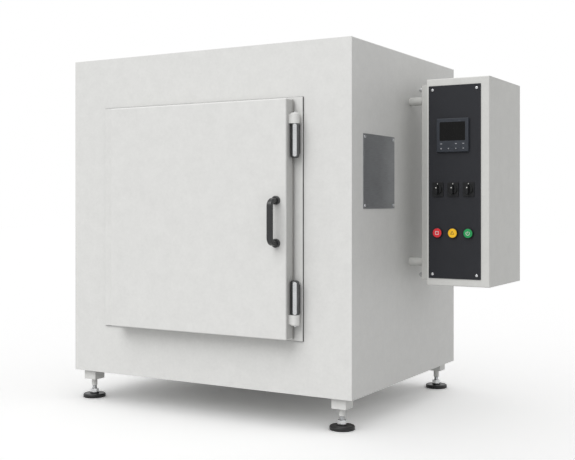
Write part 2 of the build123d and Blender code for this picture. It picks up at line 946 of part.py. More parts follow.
def make_catch_strikes():
    strikes = []
    back = door_back + strike_thickness
    for x, z in catch_places():
        strikes.append(slab(x, z, magnet_width, magnet_height, door_back, back, catch_corner))
    return strikes


# Door


def make_door_skin():
    back = door_back - door_sheet
    skin = slab(door_x, door_z, door_width, door_height, door_front, back, door_corner_radius)
    skin = fillet(skin.edges().group_by(Axis.Y)[0], door_edge_radius)
    inside_width = door_width - 2 * door_sheet
    inside_height = door_height - 2 * door_sheet
    inside_corner = door_corner_radius - door_sheet
    inside_front = door_front + door_sheet
    hollow = slab(door_x, door_z, inside_width, inside_height, inside_front, back, inside_corner)
    hollow = fillet(hollow.edges().group_by(Axis.Y)[0], door_edge_radius - door_sheet)
    skin -= hollow
    for side in (-1, 1):
        z = handle_z + side * handle_spacing / 2
        skin -= rod_y(handle_x, z, bolt_radius + running_clearance, door_front, door_front + door_sheet)
    return skin


def make_door_back_pan():
    rim_front = door_back - lip_depth
    wide = door_width + 2 * lip_stand
    tall = door_height + 2 * lip_stand
    floor_front = door_back - door_sheet
    pan = slab(door_x, door_z, wide, tall, rim_front, door_back, door_corner_radius + lip_stand)
    pan -= slab(door_x, door_z, door_width, door_height, rim_front, floor_front, door_corner_radius)
    plug_width = chamber_width - 2 * plug_side_gap
    plug_height = chamber_height - 2 * plug_side_gap
    plug = slab(door_x, door_z, plug_width, plug_height, door_back, plug_reach, plug_corner)
    pan += fillet(plug.edges().group_by(Axis.Y)[-1], plug_edge)
    hollow_width = plug_width - 2 * door_sheet
    hollow_height = plug_height - 2 * door_sheet
    hollow_back = plug_reach - door_sheet
    hollow_corner = plug_corner - door_sheet
    return pan - slab(door_x, door_z, hollow_width, hollow_height, floor_front, hollow_back, hollow_corner)


def make_door_insulation():
    front = door_front + door_sheet
    back = door_back - door_sheet
    width = door_width - 2 * (door_sheet + door_edge_radius)
    height = door_height - 2 * (door_sheet + door_edge_radius)
    pack = slab(door_x, door_z, width, height, front, back)
    plug_width = chamber_width - 2 * (plug_side_gap + door_sheet + insulation_slack)
    plug_height = chamber_height - 2 * (plug_side_gap + door_sheet + insulation_slack)
    plug_back = plug_reach - door_sheet
    pack += slab(door_x, door_z, plug_width, plug_height, back, plug_back, plug_corner - door_sheet)
    pocket_radius = bolt_head_radius + insulation_slack
    pocket_back = front + bolt_head_height + insulation_slack
    for side in (-1, 1):
        z = handle_z + side * handle_spacing / 2
        pack -= rod_y(handle_x, z, pocket_radius, front, pocket_back)
    return pack


def make_door_seal():
    inner_width = chamber_width + 2 * seal_setback - seal_width
    inner_height = chamber_height + 2 * seal_setback - seal_width
    inner_corner = chamber_corner + seal_setback - seal_width / 2
    outer_width = inner_width + 2 * seal_width
    outer_height = inner_height + 2 * seal_width
    outer_corner = inner_corner + seal_width
    back = door_back + seal_height
    ring = slab(door_x, door_z, outer_width, outer_height, door_back, back, outer_corner)
    ring -= slab(door_x, door_z, inner_width, inner_height, door_back, back, inner_corner)
    return fillet(ring.edges().group_by(Axis.Y)[-1], seal_round)


def make_door_handle():
    high = handle_z + handle_spacing / 2
    low = handle_z - handle_spacing / 2
    out = door_front - handle_reach + grip_depth / 2
    path = FilletPolyline(
        (handle_x, door_front, high),
        (handle_x, out, high),
        (handle_x, out, low),
        (handle_x, door_front, low),
        radius=grip_bend,
    )
    outline = RectangleRounded(grip_width, grip_depth, grip_corner)
    handle = sweep(front_plane(handle_x, door_front, high) * outline, path=path)
    for z in (low, high):
        foot = rod_y(handle_x, z, handle_foot_radius, door_front - handle_foot_height, door_front)
        handle += fillet(foot.edges().filter_by(GeomType.CIRCLE).group_by(Axis.Y)[0], foot_rim_edge)
        handle -= rod_y(handle_x, z, bolt_radius, door_front - bolt_bite, door_front)
    return handle


def make_handle_bolts():
    bolts = []
    seat = door_front + door_sheet
    for side in (-1, 1):
        z = handle_z + side * handle_spacing / 2
        bolt = rod_y(handle_x, z, bolt_radius, door_front - bolt_bite + bolt_end_gap, seat)
        head_plane = front_plane(handle_x, seat + bolt_head_height, z)
        bolts.append(bolt + extrude(head_plane * hexagon(bolt_head_flats), amount=bolt_head_height))
    return bolts


# Feet


def make_foot_blocks():
    blocks = []
    low = floor_gap - block_height
    outline = RectangleRounded(block_size, block_size, block_corner)
    for x, y in foot_places:
        body = extrude(Plane(origin=(x, y, low)) * outline, amount=block_height)
        body += rod_z(x, y, sleeve_radius, low - sleeve_height, low)
        blocks.append(body - rod_z(x, y, stem_radius, low - sleeve_height, stem_end + stem_end_gap))
    return blocks


def make_foot_stems():
    stems = []
    for x, y in foot_places:
        stem = rod_z(x, y, stem_radius, stem_start, stem_end)
        stems.append(chamfer(stem.edges().filter_by(GeomType.CIRCLE).group_by(Axis.Z)[-1], stem_chamfer))
    return stems


def make_foot_nuts():
    nuts = []
    low = pad_height + pad_collar_height
    for x, y in foot_places:
        nut = extrude(Plane(origin=(x, y, low)) * hexagon(nut_flats), amount=nut_height)
        nuts.append(nut - rod_z(x, y, stem_radius, low, low + nut_height))
    return nuts


def make_foot_pads():
    pads = []
    collar_top = pad_height + pad_collar_height
    for x, y in foot_places:
        pad = rod_z(x, y, pad_radius, 0, pad_height)
        rims = pad.edges().filter_by(GeomType.CIRCLE).sort_by(Axis.Z)
        pad = chamfer(rims[0], pad_chamfer)
        top_rim = pad.edges().filter_by(GeomType.CIRCLE).sort_by(Axis.Z)[-1]
        pad = fillet(top_rim, pad_edge)
        pad += rod_z(x, y, pad_collar_radius, pad_height, collar_top)
        pads.append(pad - rod_z(x, y, stem_radius, stem_start, collar_top))
    return pads


# Side cover plate


def make_side_cover_plate():
    place = Plane(origin=(body_right, side_plate_y, side_plate_z), x_dir=(0, 1, 0), z_dir=(1, 0, 0))
    outline = RectangleRounded(side_plate_width, side_plate_height, side_plate_corner)
    return extrude(place * outline, amount=side_plate_sheet)


def make_side_cover_screws():
    heads = []
    reach_y = side_plate_width / 2 - side_plate_screw_inset
    reach_z = side_plate_height / 2 - side_plate_screw_inset
    for side in (-1, 1):
        for rise in (-1, 1):
            y = side_plate_y + side * reach_y
            z = side_plate_z + rise * reach_z
            place = Plane(origin=(body_right + side_plate_sheet, y, z), x_dir=(0, 1, 0), z_dir=(1, 0, 0))
            heads.append(screw_head(place, screw_radius, screw_height))
    return heads


def make_rear_screws():
    heads = []
    reach_x = body_width / 2 - screw_edge
    reach_z = body_height / 2 - rear_screw_inset
    reach = (cover_size + cover_flange) / 2
    origins = []
    for side in (-1, 1):
        for rise in (-1, 0, 1):
            origins.append((side * reach_x, body_depth, floor_gap + body_height / 2 + rise * reach_z))
        for rise in (-1, 1):
            origins.append((door_x + side * reach, body_depth + cover_sheet, door_z + rise * reach))
    for origin in origins:
        place = Plane(origin=origin, x_dir=(1, 0, 0), z_dir=(0, 1, 0))
        heads.append(screw_head(place, screw_radius, screw_height))
    return heads


# Control box carrier


def make_support_tubes():
    tubes = []
    for z in tube_levels:
        tube = rod_x(tube_set_back, z, tube_radius, body_right, rail_left)
        tubes.append(tube - rod_x(tube_set_back, z, tube_radius - tube_wall, body_right, rail_left))
    return tubes


def make_mounting_rail():
    base = Plane(origin=((rail_left + rail_right) / 2, tube_set_back, rail_low))
    section = RectangleRounded(rail_size, rail_size, rail_corner)
    inside = rail_size - 2 * rail_wall
    section -= RectangleRounded(inside, inside, rail_corner - rail_wall)
    rail = extrude(base * section, amount=rail_high - rail_low)
    for z in tube_levels:
        rail -= rod_x(tube_set_back, z, tube_radius - tube_wall, rail_left, rail_left + rail_wall)
    for z in rail_bolt_levels():
        rail -= rod_x(tube_set_back, z, rail_bolt_radius, rail_left, rail_right)
    for low in (rail_low, rail_high - rail_wall):
        end = Plane(origin=((rail_left + rail_right) / 2, tube_set_back, low))
        rail += extrude(end * RectangleRounded(rail_size, rail_size, rail_corner), amount=rail_wall)
    return rail


def rail_bolt_levels():
    return (rail_low + rail_bolt_inset, rail_high - rail_bolt_inset)


def make_rail_bolts():
    bolts = []
    for z in rail_bolt_levels():
        bolt = rod_x(tube_set_back, z, rail_bolt_radius, rail_left, box_left + box_sheet + rail_bolt_end)
        for x in (rail_left - rail_bolt_head, box_left + box_sheet):
            place = Plane(origin=(x, tube_set_back, z), x_dir=(0, 1, 0), z_dir=(1, 0, 0))
            bolt += extrude(place * hexagon(rail_bolt_flats), amount=rail_bolt_head)
        bolts.append(bolt)
    return bolts


# Control box


def make_control_housing():
    housing = slab(box_x, box_z, box_width, box_height, box_setback, box_back)
    housing = fillet(housing.edges().group_by(Axis.Y)[0], box_corner)
    inside_width = box_width - 2 * box_sheet
    inside_height = box_height - 2 * box_sheet
    inside_front = box_setback + box_sheet
    housing -= slab(box_x, box_z, inside_width, inside_height, inside_front, box_back)
    opening_width = panel_width - 2 * panel_rest
    opening_height = panel_height - 2 * panel_rest
    housing -= slab(
        panel_x, panel_z, opening_width, opening_height, box_setback, inside_front, box_opening_corner
    )
    for level in rail_bolt_levels():
        housing -= rod_x(tube_set_back, level, rail_bolt_radius, box_left, box_left + box_sheet)
    return housing


def make_control_back_cover():
    wide = box_width - 2 * box_sheet
    tall = box_height - 2 * box_sheet
    front = box_back - box_back_fold
    back = box_back - box_sheet
    cover = slab(box_x, box_z, wide, tall, front, box_back)
    cover -= slab(box_x, box_z, wide - 2 * box_sheet, tall - 2 * box_sheet, front, back)
    return cover - rod_y(box_x, gland_z, gland_thread_radius + hole_clearance, back, box_back)


def make_control_panel():
    panel = slab(panel_x, panel_z, panel_width, panel_height, panel_front, box_setback)
    panel = fillet(panel.edges().filter_by(Axis.Y), panel_corner)
    cut = controller_body + 2 * hole_clearance
    panel -= slab(column_x, controller_z, cut, cut, panel_front, box_setback)
    for x in column_places:
        panel -= rod_y(x, switch_z, switch_shaft_radius + hole_clearance, panel_front, box_setback)
        panel -= rod_y(x, button_z, button_sleeve_radius + running_clearance, panel_front, box_setback)
    return panel


def make_panel_screws():
    heads = []
    reach_x = panel_width / 2 - panel_screw_inset
    reach_z = panel_height / 2 - panel_screw_inset
    for side in (-1, 1):
        for rise in (-1, 1):
            place = front_plane(panel_x + side * reach_x, panel_front, panel_z + rise * reach_z)
            heads.append(screw_head(place, screw_radius, screw_height))
    return heads


def key_places():
    z = controller_z - key_drop
    return [(column_x + step * key_pitch, z) for step in (-1.5, -0.5, 0.5, 1.5)]


def make_controller():
    front = panel_front - controller_proud
    size = controller_size
    bezel = slab(column_x, controller_z, size, size, front, panel_front, controller_edge)
    controller = fillet(bezel.edges().group_by(Axis.Y)[0], controller_edge)
    body = controller_body
    back = panel_front + controller_depth
    controller += slab(column_x, controller_z, body, body, panel_front, back)
    screen_back = front + screen_recess
    controller -= slab(column_x, screen_z, screen_width, screen_height, front, screen_back, screen_corner)
    keypad_back = front + keypad_recess
    controller -= slab(column_x, keypad_z, screen_width, keypad_height, front, keypad_back, screen_corner)
    return controller


def make_controller_screen():
    back = panel_front - controller_proud + screen_recess
    front = back - screen_thickness
    return slab(column_x, screen_z, screen_width, screen_height, front, back, screen_corner)


def make_controller_keypad():
    front = panel_front - controller_proud
    back = front + keypad_recess
    keypad = slab(column_x, keypad_z, screen_width, keypad_height, front, back, screen_corner)
    for key_x, key_z in key_places():
        key = slab(key_x, key_z, key_width, key_height, front - key_proud, front, key_corner)
        keypad += fillet(key.edges().group_by(Axis.Y)[0], key_edge)
    return keypad


def make_switch_plates():
    plates = []
    front = panel_front - switch_plate_thickness
    wide = switch_plate_width
    tall = switch_plate_height
    for x in column_places:
        plate = slab(x, switch_z, wide, tall, front, panel_front, switch_plate_corner)
        plate = fillet(plate.edges().group_by(Axis.Y)[0], switch_plate_edge)
        plates.append(plate - rod_y(x, switch_z, switch_shaft_radius + hole_clearance, front, panel_front))
    return plates


def make_switch_bodies():
    bodies = []
    front = box_setback
    back = front + switch_body_depth
    bore = switch_shaft_radius + running_clearance
    bore_end = front + switch_shaft_bite + switch_shaft_end_gap
    for x in column_places:
        body = slab(x, switch_z, switch_body, switch_body, front, back, switch_body_corner)
        bodies.append(body - rod_y(x, switch_z, bore, front, bore_end))
    return bodies


def make_switch_knob(x):
    seat = panel_front - switch_plate_thickness - knob_gap
    base_front = seat - knob_base_height
    knob = rod_y(x, switch_z, knob_base_radius, base_front, seat)
    knob = fillet(knob.edges().filter_by(GeomType.CIRCLE).group_by(Axis.Y)[0], knob_base_edge)
    upright = Rot(0, 0, 90)
    foot = upright * SlotOverall(knob_wing_length, knob_wing_width + knob_wing_taper)
    tip = upright * SlotOverall(knob_wing_length - 2 * knob_wing_taper, knob_wing_width - knob_wing_taper)
    foot_plane = front_plane(x, base_front, switch_z)
    tip_plane = front_plane(x, base_front - knob_wing_height, switch_z)
    knob += loft([foot_plane * foot, tip_plane * tip])
    return knob + rod_y(x, switch_z, switch_shaft_radius, seat, box_setback + switch_shaft_bite)


def make_button_bezels():
    bezels = []
    front = panel_front - button_ring_height
    back = box_setback + button_sleeve_length
    for x in column_places:
        ring = rod_y(x, button_z, button_ring_radius, front, panel_front)
        ring = fillet(ring.edges().filter_by(GeomType.CIRCLE).group_by(Axis.Y)[0], button_ring_edge)
        ring += rod_y(x, button_z, button_sleeve_radius, panel_front, back)
        ring -= rod_y(x, button_z, button_cap_radius + button_cap_gap, front, panel_front - button_floor)
        bezels.append(ring - rod_y(x, button_z, button_sleeve_radius - button_sleeve_wall, front, back))
    return bezels


def make_button_cap(x):
    back = panel_front - button_floor - button_travel - button_cap_gap
    cap = rod_y(x, button_z, button_cap_radius, back - button_cap_height, back)
    cap = fillet(cap.edges().filter_by(GeomType.CIRCLE).group_by(Axis.Y)[0], button_cap_edge)
    stem = button_sleeve_radius - button_sleeve_wall - button_cap_gap
    return cap + rod_y(x, button_z, stem, back, box_setback + button_stem_length)


def make_contact_blocks():
    blocks = []
    front = box_setback + button_sleeve_length
    step = front + contact_step
    back = front + contact_depth
    for x in column_places:
        base = slab(x, button_z, contact_width, contact_height, front, step, contact_corner)
        rear = slab(x, button_z, contact_width, contact_rear_height, front, back, contact_corner)
        blocks.append(base + rear)
    return blocks


def make_gear_plate():
    width = box_width - 2 * gear_plate_inset
    height = box_height - gear_plate_inset - gear_plate_low_room
    plate_z = box_high - gear_plate_inset - height / 2
    back = box_back - box_sheet - gear_post_length
    plate = slab(box_x, plate_z, width, height, back - gear_plate_sheet, back, gear_plate_corner)
    for side in (-1, 1):
        for rise in (-1, 1):
            post_x = box_x + side * (width / 2 - gear_post_inset)
            post_z = plate_z + rise * (height / 2 - gear_post_inset)
            plate += rod_y(post_x, post_z, gear_post_radius, back, box_back - box_sheet)
    return plate


def din_rail_outline():
    depth = din_rail_depth + din_rail_sheet
    inner = din_rail_height - 2 * din_rail_lip
    hat = Pos(depth / 2, 0) * Rectangle(depth, inner)
    hat -= Pos(depth / 2 + din_rail_sheet, 0) * Rectangle(depth, inner - 2 * din_rail_sheet)
    for side in (-1, 1):
        middle = side * (din_rail_height - din_rail_lip) / 2
        hat += Pos(depth - din_rail_sheet / 2, middle) * Rectangle(din_rail_sheet, din_rail_lip)
    return hat


def make_switchgear():
    back = box_back - box_sheet - gear_post_length - gear_plate_sheet
    width = box_width - 2 * (gear_plate_inset + din_rail_margin)
    seat = back - din_rail_depth - din_rail_sheet
    step = seat - module_base_depth
    gear = []
    upper_z = box_high - upper_rail_drop
    for z, modules in ((upper_z, upper_modules), (box_low + lower_rail_rise, lower_modules)):
        start = Plane(origin=(box_x - width / 2, back, z), x_dir=(0, -1, 0), z_dir=(1, 0, 0))
        gear.append(extrude(start * din_rail_outline(), amount=width))
        left = box_x - width / 2 + din_rail_margin
        for module in modules:
            middle = left + module / 2
            base = slab(middle, z, module, module_height, step, seat)
            gear.append(base + slab(middle, z, module, module_nose_height, seat - module_depth, step))
            left += module + module_gap
    return gear


def make_cable_gland():
    inner = box_back - gland_thread_end
    outer = box_back + gland_reach
    seat = box_back + gland_nut_height
    gland = rod_y(box_x, gland_z, gland_thread_radius, inner, outer - gland_edge)
    dome = rod_y(box_x, gland_z, gland_radius, seat, outer)
    gland += fillet(dome.edges().filter_by(GeomType.CIRCLE).group_by(Axis.Y)[-1], gland_edge)
    for nut_back, height in ((seat, gland_nut_height), (box_back - box_sheet, gland_inner_nut_height)):
        gland += extrude(front_plane(box_x, nut_back, gland_z) * hexagon(gland_nut_flats), amount=height)
    return gland - rod_y(box_x, gland_z, gland_bore, inner, outer)


save("outer_shell", make_outer_shell())
save("front_panel", make_front_panel())
save("rear_panel", make_rear_panel())
save("base_plate", make_base_plate())
save("chamber_supports", *make_chamber_supports())
save("chamber_liner", make_chamber_liner())
save("insulation_jacket", make_insulation_jacket())
save("air_baffle", make_air_baffle())
save("shelf_racks", *make_shelf_racks())
save("wire_shelves", *[make_wire_shelf(level) for level in shelf_levels])
save("heaters", *make_heaters())
save("temperature_probe", make_temperature_probe())
save("fan_impeller", make_impeller())
save("fan_shaft", make_fan_shaft())
save("fan_motor", make_fan_motor())
save("motor_mount", make_motor_mount())
save("motor_cover", make_motor_cover())
save("exhaust_spigot", make_exhaust_spigot())
save("damper_flap", make_damper_flap())
save("damper_knob", make_damper_knob())
save("door_frame_plate", make_door_frame_plate())
save("hinge_barrels", *[make_hinge_barrel(level, way) for level, way in hinge_levels()])
save("catch_magnets", *make_catch_magnets())
save("door_skin", make_door_skin())
save("door_back_pan", make_door_back_pan())
save("door_insulation", make_door_insulation())
save("door_seal", make_door_seal())
save("hinge_knuckles", *[make_hinge_knuckle(level, way) for level, way in hinge_levels()])
save("hinge_pins", *[make_hinge_pin(level, way) for level, way in hinge_levels()])
save("catch_strikes", *make_catch_strikes())
save("door_handle", make_door_handle())
save("handle_bolts", *make_handle_bolts())
save("foot_blocks", *make_foot_blocks())
save("foot_stems", *make_foot_stems())
save("foot_nuts", *make_foot_nuts())
save("foot_pads", *make_foot_pads())
save("side_cover_plate", make_side_cover_plate())
save("support_tubes", *make_support_tubes())
save("mounting_rail", make_mounting_rail())
save("rail_bolts", *make_rail_bolts())
save("control_housing", make_control_housing())
save("control_back_cover", make_control_back_cover())
save("control_panel", make_control_panel())
save("cover_screws", *make_side_cover_screws(), *make_rear_screws(), *make_panel_screws())
save("controller", make_controller())
save("controller_screen", make_controller_screen())
save("controller_keypad", make_controller_keypad())
save("switch_plates", *make_switch_plates())
save("switch_bodies", *make_switch_bodies())
for side_name, knob_x in zip(("left", "middle", "right"), column_places):
    save(f"switch_knob_{side_name}", make_switch_knob(knob_x))
save("button_bezels", *make_button_bezels())
for task, cap_x in zip(("stop", "pause", "start"), column_places):
    save(f"{task}_button", make_button_cap(cap_x))
save("contact_blocks", *make_contact_blocks())
save("gear_plate", make_gear_plate())
save("switchgear", *make_switchgear())
save("cable_gland", make_cable_gland())
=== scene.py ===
import json
from math import cos, pi, radians

import bmesh
import bpy
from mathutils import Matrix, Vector


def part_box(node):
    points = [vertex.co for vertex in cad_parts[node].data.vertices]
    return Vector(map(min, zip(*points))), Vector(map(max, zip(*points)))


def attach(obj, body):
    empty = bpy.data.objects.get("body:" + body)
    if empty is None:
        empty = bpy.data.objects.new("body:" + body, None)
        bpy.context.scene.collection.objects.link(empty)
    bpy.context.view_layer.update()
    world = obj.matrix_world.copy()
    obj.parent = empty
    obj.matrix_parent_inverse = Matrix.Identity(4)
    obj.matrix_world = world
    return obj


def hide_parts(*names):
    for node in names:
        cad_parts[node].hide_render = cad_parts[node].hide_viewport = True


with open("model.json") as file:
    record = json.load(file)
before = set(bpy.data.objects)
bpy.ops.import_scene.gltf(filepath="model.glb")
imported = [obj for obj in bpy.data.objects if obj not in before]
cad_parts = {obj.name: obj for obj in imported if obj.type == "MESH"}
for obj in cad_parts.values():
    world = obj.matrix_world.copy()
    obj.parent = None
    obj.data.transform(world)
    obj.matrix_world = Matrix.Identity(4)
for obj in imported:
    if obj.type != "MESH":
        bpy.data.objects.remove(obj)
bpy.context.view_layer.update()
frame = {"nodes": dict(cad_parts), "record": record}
cadNodes = frame["nodes"]
print("frame loaded:", len(cadNodes), "nodes")


# small helpers

def linearFromHex(code):  # sRGB hex colour to the linear colour that shader sockets take
    parts = [int(code[i:i + 2], 16) / 255 for i in (1, 3, 5)]
    return tuple(c / 12.92 if c <= 0.04045 else ((c + 0.055) / 1.055) ** 2.4 for c in parts) + (1.0,)


def addNode(tree, kind, settings=None, links=None):  # names and numbers set sockets, other names set properties
    node = tree.nodes.new(kind)
    for key, value in (settings or {}).items():
        if isinstance(key, int) or key in node.inputs:
            node.inputs[key].default_value = value
        else:
            setattr(node, key, value)
    for key, source in (links or {}).items():
        tree.links.new(source, node.inputs[key])
    return node


def startMaterial(name):
    material = bpy.data.materials.new(name)
    material.use_nodes = True
    material.node_tree.nodes.clear()
    return material, material.node_tree


def rampBetween(tree, factor, low, high, start=0.3, end=0.7):
    ramp = addNode(tree, "ShaderNodeValToRGB", links={"Fac": factor})
    ramp.color_ramp.elements[0].position = start
    ramp.color_ramp.elements[1].position = end
    ramp.color_ramp.elements[0].color = linearFromHex(low)
    ramp.color_ramp.elements[1].color = linearFromHex(high)
    return ramp.outputs["Color"]


# materials

def powderCoat(name, settings):  # baked polyester powder: soft sheen, orange peel, faint clouding in the tone
    material, tree = startMaterial(name)
    place = addNode(tree, "ShaderNodeTexCoord").outputs["Object"]
    clouds = addNode(tree, "ShaderNodeTexNoise",
                     {"Scale": 1000 / settings["cloudMm"], "Detail": 4.0, "Roughness": 0.62}, {"Vector": place})
    specks = addNode(tree, "ShaderNodeTexNoise",
                     {"Scale": 1000 / settings["speckMm"], "Detail": 2.0, "Roughness": 0.6}, {"Vector": place})
    mixed = addNode(tree, "ShaderNodeMath", {"operation": "MULTIPLY_ADD", 1: 0.55},
                    {0: clouds.outputs["Fac"], 2: addNode(tree, "ShaderNodeMath", {"operation": "MULTIPLY", 1: 0.45},
                                                          {0: specks.outputs["Fac"]}).outputs[0]})
    tone = rampBetween(tree, mixed.outputs[0], settings["dark"], settings["light"], 0.32, 0.68)
    peel = addNode(tree, "ShaderNodeTexNoise",
                   {"Scale": 1000 / settings["peelMm"], "Detail": 1.5, "Roughness": 0.5}, {"Vector": place})
    bump = addNode(tree, "ShaderNodeBump", {"Strength": settings["peelStrength"], "Distance": 0.0003},
                   {"Height": peel.outputs["Fac"]})
    gloss = addNode(tree, "ShaderNodeMapRange",
                    {"From Min": 0.3, "From Max": 0.7, "To Min": settings["roughness"] - 0.04,
                     "To Max": settings["roughness"] + 0.05}, {"Value": specks.outputs["Fac"]})
    shader = addNode(tree, "ShaderNodeBsdfPrincipled", {"IOR": 1.48, "Specular IOR Level": settings["shine"]},
                     {"Base Color": tone, "Roughness": gloss.outputs["Result"], "Normal": bump.outputs["Normal"]})
    addNode(tree, "ShaderNodeOutputMaterial", links={"Surface": shader.outputs[0]})
    return material


def grainedMetal(name, settings):  # rolled, brushed or plated metal: stretched grain in tone and roughness
    material, tree = startMaterial(name)
    place = addNode(tree, "ShaderNodeTexCoord").outputs["Object"]
    turned = addNode(tree, "ShaderNodeMapping", {"Scale": [1000 / mm for mm in settings["grainMm"]]},
                     {"Vector": place})
    grain = addNode(tree, "ShaderNodeTexNoise", {"Scale": 1.0, "Detail": 3.0, "Roughness": 0.55},
                    {"Vector": turned.outputs["Vector"]})
    clouds = addNode(tree, "ShaderNodeTexNoise", {"Scale": 1000 / settings["cloudMm"], "Detail": 2.0},
                     {"Vector": place})
    mixed = addNode(tree, "ShaderNodeMath", {"operation": "MULTIPLY_ADD", 1: 0.6},
                    {0: grain.outputs["Fac"], 2: addNode(tree, "ShaderNodeMath", {"operation": "MULTIPLY", 1: 0.4},
                                                         {0: clouds.outputs["Fac"]}).outputs[0]})
    tone = rampBetween(tree, mixed.outputs[0], settings["dark"], settings["light"], 0.35, 0.65)
    gloss = addNode(tree, "ShaderNodeMapRange",
                    {"From Min": 0.3, "From Max": 0.7, "To Min": settings["roughLow"],
                     "To Max": settings["roughHigh"]},
                    {"Value": grain.outputs["Fac"]})
    bump = addNode(tree, "ShaderNodeBump", {"Strength": settings["bump"], "Distance": 0.0001},
                   {"Height": grain.outputs["Fac"]})
    shader = addNode(tree, "ShaderNodeBsdfPrincipled", {"Metallic": 1.0},
                     {"Base Color": tone, "Roughness": gloss.outputs["Result"], "Normal": bump.outputs["Normal"]})
    addNode(tree, "ShaderNodeOutputMaterial", links={"Surface": shader.outputs[0]})
    return material


def mouldedPolymer(name, settings):  # moulded plastic or rubber: fine spark-eroded skin that dulls the shine
    material, tree = startMaterial(name)
    place = addNode(tree, "ShaderNodeTexCoord").outputs["Object"]
    skin = addNode(tree, "ShaderNodeTexNoise", {"Scale": 1000 / settings["skinMm"], "Detail": 2.0, "Roughness": 0.7},
                   {"Vector": place})
    flow = addNode(tree, "ShaderNodeTexNoise", {"Scale": 1000 / settings["flowMm"], "Detail": 2.0}, {"Vector": place})
    tone = rampBetween(tree, flow.outputs["Fac"], settings["dark"], settings["light"])
    gloss = addNode(tree, "ShaderNodeMapRange",
                    {"From Min": 0.3, "From Max": 0.7, "To Min": settings["roughness"] - 0.05,
                     "To Max": settings["roughness"] + 0.06}, {"Value": flow.outputs["Fac"]})
    bump = addNode(tree, "ShaderNodeBump", {"Strength": settings["bump"], "Distance": 0.0001},
                   {"Height": skin.outputs["Fac"]})
    shader = addNode(tree, "ShaderNodeBsdfPrincipled",
                     {"IOR": 1.5, "Specular IOR Level": settings["shine"], "Coat Weight": settings["coat"],
                      "Coat Roughness": 0.12},
                     {"Base Color": tone, "Roughness": gloss.outputs["Result"], "Normal": bump.outputs["Normal"]})
    addNode(tree, "ShaderNodeOutputMaterial", links={"Surface": shader.outputs[0]})
    return material


def mineralWool(name, settings):  # pressed mineral wool: matted fibres, quite matt
    material, tree = startMaterial(name)
    place = addNode(tree, "ShaderNodeTexCoord").outputs["Object"]
    turned = addNode(tree, "ShaderNodeMapping", {"Scale": [1000 / mm for mm in settings["fibreMm"]]},
                     {"Vector": place})
    fibre = addNode(tree, "ShaderNodeTexNoise", {"Scale": 1.0, "Detail": 6.0, "Roughness": 0.7, "Distortion": 1.2},
                    {"Vector": turned.outputs["Vector"]})
    tone = rampBetween(tree, fibre.outputs["Fac"], settings["dark"], settings["light"])
    bump = addNode(tree, "ShaderNodeBump", {"Strength": 0.8, "Distance": 0.002}, {"Height": fibre.outputs["Fac"]})
    shader = addNode(tree, "ShaderNodeBsdfPrincipled", {"Roughness": 0.95, "IOR": 1.4},
                     {"Base Color": tone, "Normal": bump.outputs["Normal"]})
    addNode(tree, "ShaderNodeOutputMaterial", links={"Surface": shader.outputs[0]})
    return material


cabinetPaint = powderCoat("PolyesterPowderCoatLightGrey", {
    "light": "#dbdbd9", "dark": "#d4d4d2", "cloudMm": 40, "speckMm": 9, "peelMm": 3.2, "peelStrength": 0.2,
    "roughness": 0.52, "shine": 0.4})
# a darker copy of the cabinet paint for the door's hinge-side face: painted shade
edgeShadePaint = powderCoat("PowderCoatPaintedShadeGrey", {
    "light": "#bdbdbb", "dark": "#b6b6b4", "cloudMm": 40, "speckMm": 9, "peelMm": 3.2, "peelStrength": 0.2,
    "roughness": 0.52, "shine": 0.4})
boxPaint = powderCoat("PolyesterPowderCoatWarmGrey", {
    "light": "#d0d0cd", "dark": "#c9c9c6", "cloudMm": 45, "speckMm": 8, "peelMm": 3.0, "peelStrength": 0.2,
    "roughness": 0.52, "shine": 0.4})
panelLacquer = powderCoat("SatinLacquerAnthracite", {
    "light": "#28292d", "dark": "#242529", "cloudMm": 60, "speckMm": 5, "peelMm": 2.2, "peelStrength": 0.15,
    "roughness": 0.5, "shine": 0.22})
brushedStainless = grainedMetal("BrushedStainlessSheet", {
    "light": "#c6c5c2", "dark": "#aeadab", "grainMm": (60, 60, 1.6), "cloudMm": 120, "roughLow": 0.28,
    "roughHigh": 0.42, "bump": 0.12})
dullPlate = grainedMetal("DullRolledSteelPlate", {
    "light": "#a9abaf", "dark": "#94969a", "grainMm": (30, 30, 2.4), "cloudMm": 90, "roughLow": 0.36,
    "roughHigh": 0.46, "bump": 0.1})
zincSheet = grainedMetal("ZincPlatedSheet", {
    "light": "#bfc3c6", "dark": "#a4a8ab", "grainMm": (9, 9, 9), "cloudMm": 30, "roughLow": 0.32, "roughHigh": 0.5,
    "bump": 0.08})
brightPlating = grainedMetal("BrightZincPlating", {
    "light": "#d6d7d8", "dark": "#c2c3c5", "grainMm": (3, 3, 3), "cloudMm": 12, "roughLow": 0.16, "roughHigh": 0.26,
    "bump": 0.05})
# bright polished steel for the hinge strips, which paint the highlight down the front of the barrels
highlightSteel = grainedMetal("PolishedSteelPaintedHighlight", {
    "light": "#d3d4d5", "dark": "#c0c1c2", "grainMm": (40, 40, 0.9), "cloudMm": 25, "roughLow": 0.14,
    "roughHigh": 0.24, "bump": 0.08})
